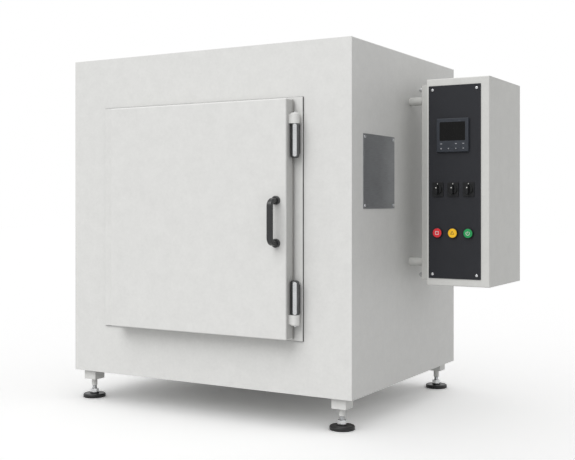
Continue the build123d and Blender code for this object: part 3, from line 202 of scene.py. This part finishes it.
# dark burnished steel for the hinge barrels; its dark tone also paints the dark reflections at the barrels' sides
burnishedSteelDarkReflection = grainedMetal("BurnishedSteelPaintedDarkReflection", {
    "light": "#68696a", "dark": "#545556", "grainMm": (5, 5, 5), "cloudMm": 18, "roughLow": 0.26,
    "roughHigh": 0.36, "bump": 0.08})
heaterSheath = grainedMetal("HeatTintedSteelTube", {
    "light": "#85796d", "dark": "#5c534d", "grainMm": (6, 6, 6), "cloudMm": 45, "roughLow": 0.35, "roughHigh": 0.55,
    "bump": 0.1})
footChrome = grainedMetal("PolishedChrome", {
    "light": "#dddedf", "dark": "#cbcccd", "grainMm": (2, 2, 2), "cloudMm": 10, "roughLow": 0.08, "roughHigh": 0.16,
    "bump": 0.04})
castAluminium = grainedMetal("CastAluminium", {
    "light": "#a2a5a7", "dark": "#8b8e91", "grainMm": (2.2, 2.2, 2.2), "cloudMm": 20, "roughLow": 0.45,
    "roughHigh": 0.62, "bump": 0.5})
footRubber = mouldedPolymer("BlackMouldedRubber", {
    "light": "#1b1b1c", "dark": "#121213", "skinMm": 1.5, "flowMm": 25, "roughness": 0.4, "bump": 0.2, "shine": 0.4,
    "coat": 0.05})
siliconeSeal = mouldedPolymer("DarkSiliconeRubber", {
    "light": "#2b2b2c", "dark": "#202021", "skinMm": 1.8, "flowMm": 30, "roughness": 0.6, "bump": 0.2, "shine": 0.25,
    "coat": 0.0})
handlePolyamide = mouldedPolymer("BlackGlassFilledPolyamide", {
    "light": "#1c1d1f", "dark": "#141516", "skinMm": 1.2, "flowMm": 18, "roughness": 0.3, "bump": 0.3, "shine": 0.45,
    "coat": 0.25})
blackPlastic = mouldedPolymer("BlackMouldedPlastic", {
    "light": "#17181a", "dark": "#101112", "skinMm": 0.9, "flowMm": 12, "roughness": 0.42, "bump": 0.2, "shine": 0.25,
    "coat": 0.0})
greyPlastic = mouldedPolymer("GreyMouldedPlastic", {
    "light": "#9a9c9e", "dark": "#8d8f91", "skinMm": 1.0, "flowMm": 16, "roughness": 0.5, "bump": 0.2, "shine": 0.5,
    "coat": 0.0})
controllerPlastic = mouldedPolymer("AnthraciteMouldedPlastic", {
    "light": "#30343b", "dark": "#292d34", "skinMm": 0.9, "flowMm": 14, "roughness": 0.44, "bump": 0.18, "shine": 0.3,
    "coat": 0.0})
displayWindow = mouldedPolymer("SmokedAcrylicWindow", {
    "light": "#0f0f0f", "dark": "#0b0b0b", "skinMm": 2.0, "flowMm": 30, "roughness": 0.16, "bump": 0.02,
    "shine": 0.14, "coat": 0.0})
redPlastic = mouldedPolymer("RedGlossPlastic", {
    "light": "#da2532", "dark": "#cc1c28", "skinMm": 1.2, "flowMm": 9, "roughness": 0.3, "bump": 0.05, "shine": 0.4,
    "coat": 0.1})
yellowPlastic = mouldedPolymer("YellowGlossPlastic", {
    "light": "#f5c21a", "dark": "#ecb40f", "skinMm": 1.2, "flowMm": 9, "roughness": 0.3, "bump": 0.05, "shine": 0.4,
    "coat": 0.1})
greenPlastic = mouldedPolymer("GreenGlossPlastic", {
    "light": "#089a52", "dark": "#068d49", "skinMm": 1.2, "flowMm": 9, "roughness": 0.3, "bump": 0.05, "shine": 0.4,
    "coat": 0.1})
paleInk = mouldedPolymer("PaleScreenInk", {
    "light": "#dad8d5", "dark": "#cccac7", "skinMm": 0.8, "flowMm": 5, "roughness": 0.6, "bump": 0.05, "shine": 0.4,
    "coat": 0.0})
greyInk = mouldedPolymer("GreyScreenInk", {
    "light": "#a9a9ad", "dark": "#9b9b9f", "skinMm": 0.8, "flowMm": 5, "roughness": 0.6, "bump": 0.05, "shine": 0.4,
    "coat": 0.0})
darkInk = mouldedPolymer("DarkScreenInk", {
    "light": "#7a5f1c", "dark": "#6c5318", "skinMm": 0.8, "flowMm": 5, "roughness": 0.6, "bump": 0.05, "shine": 0.4,
    "coat": 0.0})
woolSlab = mineralWool("MineralWoolSlab", {"light": "#c6b784", "dark": "#9d8f61", "fibreMm": (14, 14, 3)})

finishOfSlot = {
    "cabinet_paint": cabinetPaint, "box_paint": boxPaint, "panel_black": panelLacquer,
    "stainless": brushedStainless, "satin_plate": dullPlate, "zinc_sheet": zincSheet, "bright_wire": brightPlating,
    "hinge_steel": burnishedSteelDarkReflection, "heater_sheath": heaterSheath, "foot_chrome": footChrome,
    "foot_rubber": footRubber, "silicone": siliconeSeal, "mineral_wool": woolSlab, "motor_casting": castAluminium,
    "handle_plastic": handlePolyamide, "black_plastic": blackPlastic, "grey_plastic": greyPlastic,
    "controller_plastic": controllerPlastic, "screen_glass": displayWindow, "red_plastic": redPlastic,
    "yellow_plastic": yellowPlastic, "green_plastic": greenPlastic}
for part in frame["record"]["subparts"]:
    node = cadNodes[part["node"]]
    node.data.materials.clear()
    node.data.materials.append(finishOfSlot[part["material_slot"]])
print("finishes on", len(cadNodes), "nodes")


# modelling helpers

def selectOnly(*pieces):
    if bpy.context.object and bpy.context.object.mode == "EDIT":
        bpy.ops.object.mode_set(mode="OBJECT")
    bpy.ops.object.select_all(action="DESELECT")
    for piece in pieces:
        piece.select_set(True)
    bpy.context.view_layer.objects.active = pieces[0]


def pickFaces(test):  # in edit mode, selects the faces whose middle and normal pass the test
    mesh = bmesh.from_edit_mesh(bpy.context.object.data)
    bpy.ops.mesh.select_all(action="DESELECT")
    bpy.ops.mesh.select_mode(type="FACE")
    for face in mesh.faces:
        face.select_set(test(face.calc_center_median(), face.normal))
    bmesh.update_edit_mesh(bpy.context.object.data)


def pickEdges(test):  # in edit mode, selects the edges whose two ends pass the test
    mesh = bmesh.from_edit_mesh(bpy.context.object.data)
    bpy.ops.mesh.select_all(action="DESELECT")
    bpy.ops.mesh.select_mode(type="EDGE")
    for edge in mesh.edges:
        edge.select_set(test(edge.verts[0].co, edge.verts[1].co))
    bmesh.update_edit_mesh(bpy.context.object.data)


def applyModifiers(piece):
    selectOnly(piece)
    for modifier in list(piece.modifiers):
        bpy.ops.object.modifier_apply(modifier=modifier.name)


def cutWith(piece, cutter, operation="DIFFERENCE"):
    cut = piece.modifiers.new("cut", "BOOLEAN")
    cut.operation = operation
    cut.solver = "EXACT"
    cut.object = cutter
    applyModifiers(piece)
    bpy.data.objects.remove(cutter)


def copyTo(model, place, turn=(0.0, 0.0, 0.0)):  # a copy with its own mesh, its place put into the mesh
    selectOnly(model)
    bpy.ops.object.duplicate(linked=False)
    made = bpy.context.object
    made.rotation_euler = turn
    made.location = place
    bpy.ops.object.transform_apply(location=True, rotation=True, scale=True)
    return made


def joinPieces(name, pieces):
    selectOnly(*pieces)
    if len(pieces) > 1:
        bpy.ops.object.join()
    pieces[0].name = name
    pieces[0].data.name = name
    return pieces[0]


def handOver(piece, finish, body):  # smooth where it is round, then material, slot and body
    selectOnly(piece)
    bpy.ops.object.transform_apply(location=True, rotation=True, scale=True)
    bpy.ops.object.shade_smooth_by_angle(angle=radians(35))
    piece.data.materials.clear()
    piece.data.materials.append(finish)
    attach(piece, body)
    return piece


def hexNut(flats, low, height, chamfer):  # a nut round the Z axis, its corners turned down at both ends
    reach = flats / 2 / cos(radians(30))
    place = (0, 0, low + height / 2)
    bpy.ops.object.select_all(action="DESELECT")
    bpy.ops.mesh.primitive_cylinder_add(vertices=6, radius=reach, depth=height, location=place)
    nut = bpy.context.object
    bpy.ops.object.transform_apply(location=True)
    bpy.ops.object.select_all(action="DESELECT")
    bpy.ops.mesh.primitive_cylinder_add(vertices=64, radius=reach, depth=height, location=place)
    rounding = bpy.context.object
    bpy.ops.object.transform_apply(location=True)
    bpy.ops.object.mode_set(mode="EDIT")
    pickEdges(lambda a, b: abs(a.z - b.z) < 1e-6)
    bpy.ops.mesh.bevel(offset=chamfer, segments=1, affect="EDGES")
    bpy.ops.object.mode_set(mode="OBJECT")
    cutWith(nut, rounding, "INTERSECT")
    return nut


def softDisc(radius, low, height, edge, segments=3):  # a disc round the Z axis with its upper rim rounded
    bpy.ops.object.select_all(action="DESELECT")
    bpy.ops.mesh.primitive_cylinder_add(vertices=48, radius=radius, depth=height, location=(0, 0, low + height / 2))
    disc = bpy.context.object
    bpy.ops.object.transform_apply(location=True)
    bpy.ops.object.mode_set(mode="EDIT")
    pickEdges(lambda a, b: min(a.z, b.z) > low + height * 0.9)
    bpy.ops.mesh.bevel(offset=edge, segments=segments, affect="EDGES")
    bpy.ops.object.mode_set(mode="OBJECT")
    return disc


faceFront = (radians(90), 0.0, 0.0)  # turns a piece made looking up so that it looks to the front
faceRear = (radians(-90), 0.0, 0.0)
faceRight = (0.0, radians(90), 0.0)
faceLeft = (0.0, radians(-90), 0.0)


# cover screws: pan heads with a cross recess

screwSettings = {"radius": 0.0042, "height": 0.0022, "edge": 0.0011, "slotLength": 0.0044, "slotWidth": 0.0010,
                 "slotDepth": 0.0012, "sideInset": 0.009, "panelInset": 0.012, "rearInset": 0.010,
                 "rearEndInset": 0.040, "coverInset": 0.008}

bpy.ops.object.select_all(action="DESELECT")
screw = screwSettings
bpy.ops.mesh.primitive_cylinder_add(vertices=32, radius=screw["radius"], depth=screw["height"],
                                    location=(0, 0, screw["height"] / 2))
screwModel = bpy.context.object
bpy.ops.object.transform_apply(location=True)
bpy.ops.object.mode_set(mode="EDIT")
pickEdges(lambda a, b: a.z > screw["height"] * 0.9 and b.z > screw["height"] * 0.9)
bpy.ops.mesh.bevel(offset=screw["edge"], segments=4, affect="EDGES")
bpy.ops.object.mode_set(mode="OBJECT")
for turn in (0, 90):
    bpy.ops.object.select_all(action="DESELECT")
    bpy.ops.mesh.primitive_cube_add(size=1, location=(0, 0, screw["height"]), rotation=(0, 0, radians(turn + 20)))
    slotCutter = bpy.context.object
    slotCutter.scale = (screw["slotLength"], screw["slotWidth"], screw["slotDepth"] * 2)
    bpy.ops.object.transform_apply(location=True, rotation=True, scale=True)
    bpy.ops.object.mode_set(mode="EDIT")
    pickFaces(lambda middle, normal: normal.z < -0.9)
    bpy.ops.transform.resize(value=(0.5, 0.5, 1.0))
    bpy.ops.object.mode_set(mode="OBJECT")
    cutWith(screwModel, slotCutter)

plateLow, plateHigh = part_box("side_cover_plate")
panelLow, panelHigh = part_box("control_panel")
rearLow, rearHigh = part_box("rear_panel")
coverLow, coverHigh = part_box("motor_cover")
sheetOnRear = rearHigh.y + 0.0015
screwPlaces = []
for y in (plateLow.y + screw["sideInset"], plateHigh.y - screw["sideInset"]):
    for z in (plateLow.z + screw["sideInset"], plateHigh.z - screw["sideInset"]):
        screwPlaces.append(((plateHigh.x, y, z), faceRight))
for x in (panelLow.x + screw["panelInset"], panelHigh.x - screw["panelInset"]):
    for z in (panelLow.z + screw["panelInset"], panelHigh.z - screw["panelInset"]):
        screwPlaces.append(((x, panelLow.y, z), faceFront))
for x in (rearLow.x + screw["rearInset"], rearHigh.x - screw["rearInset"]):
    for z in (rearLow.z + screw["rearEndInset"], (rearLow.z + rearHigh.z) / 2, rearHigh.z - screw["rearEndInset"]):
        screwPlaces.append(((x, rearHigh.y, z), faceRear))
for x in (coverLow.x + screw["coverInset"], coverHigh.x - screw["coverInset"]):
    for z in (coverLow.z + screw["coverInset"], coverHigh.z - screw["coverInset"]):
        screwPlaces.append(((x, sheetOnRear, z), faceRear))
coverScrews = joinPieces("coverScrews", [copyTo(screwModel, place, turn) for place, turn in screwPlaces])
bpy.data.objects.remove(screwModel)
handOver(coverScrews, brightPlating, "cabinet")
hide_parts("cover_screws")
print("cover screws:", len(screwPlaces))


# feet: threaded stems and chamfered lock nuts

footSettings = {"padRadius": 0.036, "stemRadius": 0.008, "rootRadius": 0.0070, "pitch": 0.002, "stemLow": 0.0062,
                "stemHigh": 0.0795, "nutLow": 0.0145, "nutHeight": 0.013, "nutFlats": 0.024, "nutChamfer": 0.0016}

foot = footSettings
padLow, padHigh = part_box("foot_pads")
footPlaces = [(x, y) for x in (padLow.x + foot["padRadius"], padHigh.x - foot["padRadius"])
              for y in (padLow.y + foot["padRadius"], padHigh.y - foot["padRadius"])]

bpy.ops.object.select_all(action="DESELECT")
bpy.ops.mesh.primitive_grid_add(x_subdivisions=1, y_subdivisions=2, size=foot["pitch"], rotation=faceFront,
                                location=(foot["rootRadius"] - foot["pitch"] / 2, 0,
                                          foot["stemLow"] + foot["pitch"] / 2))
stemModel = bpy.context.object
bpy.ops.object.transform_apply(location=True, rotation=True)
bpy.ops.object.mode_set(mode="EDIT")
bpy.ops.mesh.select_mode(type="VERT")
thread = bmesh.from_edit_mesh(stemModel.data)
bpy.ops.mesh.select_all(action="DESELECT")
for vertex in thread.verts:
    vertex.select_set(vertex.co.x < foot["rootRadius"] - foot["pitch"] / 2)
bmesh.update_edit_mesh(stemModel.data)
bpy.ops.mesh.delete(type="VERT")
thread = bmesh.from_edit_mesh(stemModel.data)
middleHeight = foot["stemLow"] + foot["pitch"] / 2
for vertex in thread.verts:
    vertex.select_set(abs(vertex.co.z - middleHeight) < foot["pitch"] / 4)
bmesh.update_edit_mesh(stemModel.data)
bpy.ops.transform.translate(value=(foot["stemRadius"] - foot["rootRadius"], 0, 0))
bpy.ops.object.mode_set(mode="OBJECT")
helix = stemModel.modifiers.new("thread", "SCREW")
helix.axis = "Z"
helix.steps = 28
helix.render_steps = 28
helix.screw_offset = foot["pitch"]
helix.iterations = int((foot["stemHigh"] - foot["stemLow"]) / foot["pitch"]) - 1
helix.use_merge_vertices = True
helix.merge_threshold = 0.00002
applyModifiers(stemModel)
bpy.ops.object.mode_set(mode="EDIT")
bpy.ops.mesh.select_all(action="SELECT")
bpy.ops.mesh.remove_doubles(threshold=0.00002)
bpy.ops.mesh.select_all(action="DESELECT")
bpy.ops.mesh.select_mode(type="EDGE")
bpy.ops.mesh.select_non_manifold(extend=False, use_wire=False, use_boundary=True, use_multi_face=False,
                                 use_non_contiguous=False, use_verts=False)
bpy.ops.mesh.fill()
bpy.ops.mesh.select_all(action="SELECT")
bpy.ops.mesh.normals_make_consistent(inside=False)
bpy.ops.object.mode_set(mode="OBJECT")
footStems = joinPieces("footStems", [copyTo(stemModel, (x, y, 0)) for x, y in footPlaces])
bpy.data.objects.remove(stemModel)
handOver(footStems, footChrome, "cabinet")
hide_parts("foot_stems")

nutModel = hexNut(foot["nutFlats"], foot["nutLow"], foot["nutHeight"], foot["nutChamfer"])
bpy.ops.object.select_all(action="DESELECT")
bpy.ops.mesh.primitive_cylinder_add(vertices=48, radius=foot["stemRadius"] + 0.0001, depth=foot["nutHeight"] * 2,
                                    location=(0, 0, foot["nutLow"] + foot["nutHeight"] / 2))
cutWith(nutModel, bpy.context.object)
footNuts = joinPieces("footNuts", [copyTo(nutModel, (x, y, 0), (0, 0, radians(12))) for x, y in footPlaces])
bpy.data.objects.remove(nutModel)
handOver(footNuts, footChrome, "cabinet")
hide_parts("foot_nuts")
print("feet:", len(footPlaces))


# bolts of the carrying rail: washer, nut and domed lock nut outside, plain nut inside the box

railBoltSettings = {"studRadius": 0.0040, "studEnd": 0.0020, "washerRadius": 0.0085, "washer": 0.0016,
                    "flats": 0.0130, "nut": 0.0050, "capNut": 0.0062, "chamfer": 0.0009, "dome": 0.0054, "inside": 0.0060,
                    "rim": 0.0004, "domeEdge": 0.98, "domeSteps": 10}

bolt = railBoltSettings
boltsLow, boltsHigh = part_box("rail_bolts")
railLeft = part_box("mounting_rail")[0].x
firstNut = bolt["washer"] + bolt["nut"]
boltModel = softDisc(bolt["washerRadius"], 0, bolt["washer"], bolt["rim"], 1)
boltParts = [boltModel, hexNut(bolt["flats"], bolt["washer"], bolt["nut"], bolt["chamfer"]),
             hexNut(bolt["flats"], firstNut, bolt["capNut"], bolt["chamfer"]),
             softDisc(bolt["dome"], firstNut + bolt["capNut"] * 0.9, bolt["dome"],
                      bolt["dome"] * bolt["domeEdge"], bolt["domeSteps"]),
             hexNut(bolt["flats"], railLeft - boltsHigh.x + bolt["studEnd"], bolt["inside"], bolt["chamfer"]),
             softDisc(bolt["studRadius"], railLeft - boltsHigh.x, boltsHigh.x - railLeft + firstNut, bolt["rim"], 1)]
boltModel = joinPieces("boltModel", boltParts)
boltPlaces = [(railLeft, (boltsLow.y + boltsHigh.y) / 2, z)
              for z in (boltsLow.z + bolt["flats"] / 2, boltsHigh.z - bolt["flats"] / 2)]
railBolts = joinPieces("railBolts", [copyTo(boltModel, place, faceLeft) for place in boltPlaces])
bpy.data.objects.remove(boltModel)
handOver(railBolts, brightPlating, "cabinet")
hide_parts("rail_bolts")
print("rail bolts:", len(boltPlaces))


# hinges: bright polished strips let into the front of the barrels, a painted highlight between the barrels' dark
# sides

hingeHighlightSettings = {"width": 0.0106, "barrelRadius": 0.0125, "proud": 0.0002, "barrelLength": 0.0960,
                      "nearGap": 0.0008, "farGap": 0.0036, "turn": 27.0, "depth": 0.0060}

highlightSpec = hingeHighlightSettings
barrelsLow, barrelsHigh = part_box("hinge_barrels")
barrelX = (barrelsLow.x + barrelsHigh.x) / 2
barrelY = barrelsLow.y + highlightSpec["barrelRadius"]
stripLength = highlightSpec["barrelLength"] - highlightSpec["nearGap"] - highlightSpec["farGap"]
hingeHighlightStrips = []
for middle in (barrelsHigh.z - highlightSpec["nearGap"] - stripLength / 2, barrelsLow.z + highlightSpec["nearGap"] + stripLength / 2):
    bpy.ops.object.select_all(action="DESELECT")
    bpy.ops.mesh.primitive_cube_add(size=1)
    strip = bpy.context.object
    strip.scale = (highlightSpec["width"], highlightSpec["depth"], stripLength)
    bpy.ops.object.transform_apply(scale=True)
    bpy.ops.object.mode_set(mode="EDIT")
    pickEdges(lambda a, b: abs(a.x - b.x) < 1e-6 and abs(a.z - b.z) < 1e-6)
    bpy.ops.mesh.bevel(offset=highlightSpec["width"] * 0.48, segments=8, affect="EDGES")
    bpy.ops.object.mode_set(mode="OBJECT")
    strip.location = (0, -highlightSpec["barrelRadius"], 0)
    bpy.ops.object.transform_apply(location=True)
    turned = copyTo(strip, (barrelX, barrelY, middle), (0, 0, radians(highlightSpec["turn"])))
    bpy.data.objects.remove(strip)
    bpy.ops.object.select_all(action="DESELECT")
    bpy.ops.mesh.primitive_cylinder_add(vertices=128, radius=highlightSpec["barrelRadius"] + highlightSpec["proud"],
                                        depth=stripLength * 1.1, location=(barrelX, barrelY, middle))
    cutWith(turned, bpy.context.object, "INTERSECT")
    hingeHighlightStrips.append(turned)
handOver(joinPieces("hingeHighlightStrips", hingeHighlightStrips), highlightSteel, "cabinet")
print("hinge strips:", len(hingeHighlightStrips))


# door edge: a darker grey strip on the hinge-side face of the door, painted shade where that face turns from the key
# lamp, and dark rubber lips in the joint behind the door, which also paint the shade of that joint

lipSettings = {"inset": 0.0022, "width": 0.0040, "clear": 0.0005, "edgeProud": 0.00025, "edgeInset": 0.0030,
               "edgeDepth": 0.0010, "edgeRound": 0.0002, "lipRound": 0.0006}

lip = lipSettings
skinLow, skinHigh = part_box("door_skin")
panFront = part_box("door_seal")[0].y
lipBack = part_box("door_frame_plate")[0].y - lip["clear"]


def flatBar(low, high, edge):  # a bar between two corners, its edges turned down
    bpy.ops.object.select_all(action="DESELECT")
    bpy.ops.mesh.primitive_cube_add(size=1, location=(Vector(low) + Vector(high)) / 2)
    bar = bpy.context.object
    bar.scale = Vector(high) - Vector(low)
    bpy.ops.object.transform_apply(location=True, rotation=True, scale=True)
    bpy.ops.object.mode_set(mode="EDIT")
    bpy.ops.mesh.select_all(action="SELECT")
    bpy.ops.mesh.bevel(offset=edge, segments=2, affect="EDGES")
    bpy.ops.object.mode_set(mode="OBJECT")
    return bar


left, right = skinLow.x + lip["inset"], skinHigh.x - lip["inset"]
bottom, top = skinLow.z + lip["inset"], skinHigh.z - lip["inset"]
# dark rubber lips in the joint behind the door, which also paint the shade of that joint as a crisp dark line
shadeLips = [flatBar((right - lip["width"], panFront, bottom), (right, lipBack, top), lip["lipRound"]),
        flatBar((left, panFront, bottom), (right - lip["width"], lipBack, bottom + lip["width"]), lip["lipRound"]),
        flatBar((left, panFront, top - lip["width"]), (right - lip["width"], lipBack, top), lip["lipRound"])]
handOver(joinPieces("doorLipsPaintedShade", shadeLips), siliconeSeal, "door")
# a thin strip of the darker paint laid on the door's hinge-side face: painted shade
edgeShadeBar = flatBar((skinHigh.x - lip["edgeDepth"], skinLow.y + lip["edgeInset"], skinLow.z + lip["edgeInset"]),
                  (skinHigh.x + lip["edgeProud"], skinHigh.y, skinHigh.z - lip["edgeInset"]), lip["edgeRound"])
edgeShadeBar.name = "doorEdgePaintedShade"
handOver(edgeShadeBar, edgeShadePaint, "door")
print("door edge done")


# signs on the push buttons and marks on the switches and the controller

signSettings = {"squareReach": 0.0072, "triangleReach": 0.0072, "ringReach": 0.0060, "line": 0.0014,
                "thickness": 0.00025, "barLength": 0.0058}


def ringSign(sides, reach, turn=0.0):  # an outline with that many sides, lying flat and looking up
    bpy.ops.object.select_all(action="DESELECT")
    bpy.ops.mesh.primitive_circle_add(vertices=sides, radius=reach, fill_type="NGON", rotation=(0, 0, turn))
    piece = bpy.context.object
    bpy.ops.object.transform_apply(rotation=True)
    bpy.ops.object.mode_set(mode="EDIT")
    bpy.ops.mesh.select_all(action="SELECT")
    bpy.ops.mesh.inset(thickness=signSettings["line"])
    bpy.ops.mesh.delete(type="FACE")
    bpy.ops.object.mode_set(mode="OBJECT")
    return piece


def thicken(piece, thickness):
    wall = piece.modifiers.new("wall", "SOLIDIFY")
    wall.thickness = thickness
    wall.offset = 1.0
    applyModifiers(piece)


def placeSign(name, piece, node, finish):
    low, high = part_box(node)
    thicken(piece, signSettings["thickness"])
    sign = copyTo(piece, ((low.x + high.x) / 2, low.y, (low.z + high.z) / 2), faceFront)
    bpy.data.objects.remove(piece)
    sign.name = name
    handOver(sign, finish, node)


placeSign("stopSign", ringSign(4, signSettings["squareReach"], radians(45)), "stop_button", paleInk)
placeSign("pauseSign", ringSign(3, signSettings["triangleReach"]), "pause_button", darkInk)
startRing = ringSign(36, signSettings["ringReach"])
bpy.ops.object.mode_set(mode="EDIT")
pickFaces(lambda middle, normal: middle.y > 0 and abs(middle.x) < abs(middle.y) * 0.75)
bpy.ops.mesh.delete(type="FACE")
bpy.ops.object.mode_set(mode="OBJECT")
bpy.ops.object.select_all(action="DESELECT")
bpy.ops.mesh.primitive_grid_add(x_subdivisions=1, y_subdivisions=3, size=1,
                                location=(0, signSettings["ringReach"] * 0.55, 0))
startBar = bpy.context.object
startBar.scale = (signSettings["line"], signSettings["barLength"], 1)
bpy.ops.object.transform_apply(location=True, scale=True)
placeSign("startSign", joinPieces("startRing", [startRing, startBar]), "start_button", paleInk)
print("button signs done")


markSettings = {"thickness": 0.0002, "plateTop": 0.0044, "plateMark": (0.0018, 0.0034), "dotRadius": 0.0018,
                "dotRise": 0.0050, "keyPitch": 0.0225, "keyRise": 0.010, "lampRise": 0.024, "keyProud": 0.0007,
                "keyMark": 0.0024, "bar": (0.0052, 0.0020)}


def discMark(sides, radius, turn=0.0):  # a flat filled outline, looking up
    bpy.ops.object.select_all(action="DESELECT")
    bpy.ops.mesh.primitive_circle_add(vertices=sides, radius=radius, fill_type="NGON", rotation=(0, 0, turn))
    piece = bpy.context.object
    bpy.ops.object.transform_apply(rotation=True)
    return piece


def barMark(width, height):
    bpy.ops.object.select_all(action="DESELECT")
    bpy.ops.mesh.primitive_grid_add(x_subdivisions=2, y_subdivisions=1, size=1)
    piece = bpy.context.object
    piece.scale = (width, height, 1)
    bpy.ops.object.transform_apply(scale=True)
    return piece


def laidOn(piece, x, y, z):  # the mark given a thickness and laid on a face that looks to the front
    thicken(piece, markSettings["thickness"])
    made = copyTo(piece, (x, y, z), faceFront)
    bpy.data.objects.remove(piece)
    return made


marking = markSettings
platesLow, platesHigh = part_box("switch_plates")
knobs = ("switch_knob_left", "switch_knob_middle", "switch_knob_right")
plateMarks = []
for knob in knobs:
    low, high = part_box(knob)
    middleX = (low.x + high.x) / 2
    plateMark = barMark(*marking["plateMark"])
    plateMarks.append(laidOn(plateMark, middleX, platesLow.y, platesHigh.z - marking["plateTop"]))
    dot = laidOn(discMark(24, marking["dotRadius"]), middleX, low.y, (low.z + high.z) / 2 + marking["dotRise"])
    dot.name = "dot_" + knob
    handOver(dot, paleInk, knob)
handOver(joinPieces("switchMarks", plateMarks), paleInk, "cabinet")

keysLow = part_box("controller_keypad")[0]
bezelLow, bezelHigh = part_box("controller")
keyX = [(bezelLow.x + bezelHigh.x) / 2 + step * marking["keyPitch"] for step in (-1.5, -0.5, 0.5, 1.5)]
keyZ = bezelLow.z + marking["keyRise"]
lampZ = bezelLow.z + marking["lampRise"]
lampY = keysLow.y + marking["keyProud"]
keyMarks = [laidOn(discMark(3, marking["keyMark"], turn), x, keysLow.y, keyZ)
            for x, turn in ((keyX[1], pi / 2), (keyX[2], pi), (keyX[3], 0.0))]
keyMarks.append(laidOn(discMark(20, marking["keyMark"] * 0.8), keyX[0], keysLow.y, keyZ))
for x in (keyX[0], keyX[2], keyX[3]):
    keyMarks.append(laidOn(barMark(*marking["bar"]), x, lampY, lampZ))
handOver(joinPieces("keyMarks", keyMarks), greyInk, "cabinet")
print("marks:", len(knobs) + len(keyMarks))


# sealing strip in the joint between the raised plate and the front panel: dark rubber that also paints the thin line
# of shade round the plate

shadeStripSettings = {"proud": 0.0006, "depth": 0.0040}

shadeStrip = shadeStripSettings
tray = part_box("door_frame_plate")
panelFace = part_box("front_panel")[0].y
bpy.ops.object.select_all(action="DESELECT")
bpy.ops.mesh.primitive_grid_add(x_subdivisions=1, y_subdivisions=1, size=1, rotation=faceFront)
sealShadeStrip = bpy.context.object
sealShadeStrip.scale = (tray[1].x - tray[0].x + 2 * shadeStrip["proud"], tray[1].z - tray[0].z + 2 * shadeStrip["proud"], 1)
sealShadeStrip.location = ((tray[0].x + tray[1].x) / 2, panelFace, (tray[0].z + tray[1].z) / 2)
bpy.ops.object.transform_apply(location=True, rotation=True, scale=True)
bpy.ops.object.mode_set(mode="EDIT")
bpy.ops.mesh.select_all(action="SELECT")
bpy.ops.mesh.inset(thickness=2 * shadeStrip["proud"])
bpy.ops.mesh.delete(type="FACE")
bpy.ops.object.mode_set(mode="OBJECT")
thicken(sealShadeStrip, shadeStrip["depth"])
sealShadeStrip.name = "plateSealShadeStrip"
handOver(sealShadeStrip, siliconeSeal, "cabinet")
print("seal strip done")


# stage: floor, light and camera

stageSettings = {"floorSize": 30.0, "floorSeen": 1.52, "floorLit": 0.95, "skyStrength": 0.66, "keyStrength": 1.9,
                 "keyAngle": 50.0, "keyFrom": (-0.26, -1.0, 1.1)}


def backgroundShare(tree):  # 1 for rays that show the background to the camera, to metal and to glass
    lightPath = addNode(tree, "ShaderNodeLightPath")
    seen = addNode(tree, "ShaderNodeMath", {"operation": "MAXIMUM"},
                   {0: lightPath.outputs["Is Camera Ray"], 1: lightPath.outputs["Is Glossy Ray"]})
    return addNode(tree, "ShaderNodeMath", {"operation": "MAXIMUM"},
                   {0: seen.outputs[0], 1: lightPath.outputs["Is Transmission Ray"]}).outputs[0]


bpy.ops.object.select_all(action="DESELECT")
bpy.ops.mesh.primitive_grid_add(x_subdivisions=8, y_subdivisions=8, size=stageSettings["floorSize"])
floor = bpy.context.object
floor.name = "studioFloor"
material, tree = startMaterial("WhiteStudioFloor")
brightness = addNode(tree, "ShaderNodeMapRange",
                     {"To Min": stageSettings["floorLit"], "To Max": stageSettings["floorSeen"]},
                     {"Value": backgroundShare(tree)})
paint = addNode(tree, "ShaderNodeBsdfDiffuse", {"Roughness": 0.0}, {"Color": brightness.outputs["Result"]})
addNode(tree, "ShaderNodeOutputMaterial", links={"Surface": paint.outputs[0]})
floor.data.materials.append(material)

world = bpy.data.worlds.new("studioSky")
bpy.context.scene.world = world
world.use_nodes = True
tree = world.node_tree
tree.nodes.clear()
strength = addNode(tree, "ShaderNodeMapRange", {"To Min": stageSettings["skyStrength"], "To Max": 1.0},
                   {"Value": backgroundShare(tree)})
sky = addNode(tree, "ShaderNodeBackground", {"Color": linearFromHex("#ffffff")},
              {"Strength": strength.outputs["Result"]})
addNode(tree, "ShaderNodeOutputWorld", links={"Surface": sky.outputs[0]})


def aimFrom(place, target):
    return (Vector(target) - Vector(place)).to_track_quat("-Z", "Y").to_euler()


bpy.ops.object.select_all(action="DESELECT")
bpy.ops.object.light_add(type="SUN", rotation=aimFrom(stageSettings["keyFrom"], (0, 0, 0)))
keyLamp = bpy.context.object
keyLamp.name = "keyLamp"
keyLamp.data.energy = stageSettings["keyStrength"]
keyLamp.data.angle = radians(stageSettings["keyAngle"])
floorOnly = bpy.data.collections.new("floorOnly")  # the floor takes the sky alone, so it keeps a soft contact shadow
floorOnly.objects.link(floor)
floorOnly.collection_objects[0].light_linking.link_state = "EXCLUDE"
keyLamp.light_linking.receiver_collection = floorOnly

cameraSettings = {"place": (1.5424, -2.7858, 0.6379), "turn": 30.30, "lens": 60.6, "shiftY": -0.0504}
bpy.ops.object.camera_add(location=cameraSettings["place"],
                          rotation=(radians(90), 0, radians(cameraSettings["turn"])))
camera = bpy.context.object
camera.data.sensor_width = 36.0
camera.data.lens = cameraSettings["lens"]
camera.data.shift_y = cameraSettings["shiftY"]
camera.data.clip_end = 60.0
bpy.context.scene.camera = camera
bpy.context.scene.view_settings.view_transform = "Standard"
print("stage done")
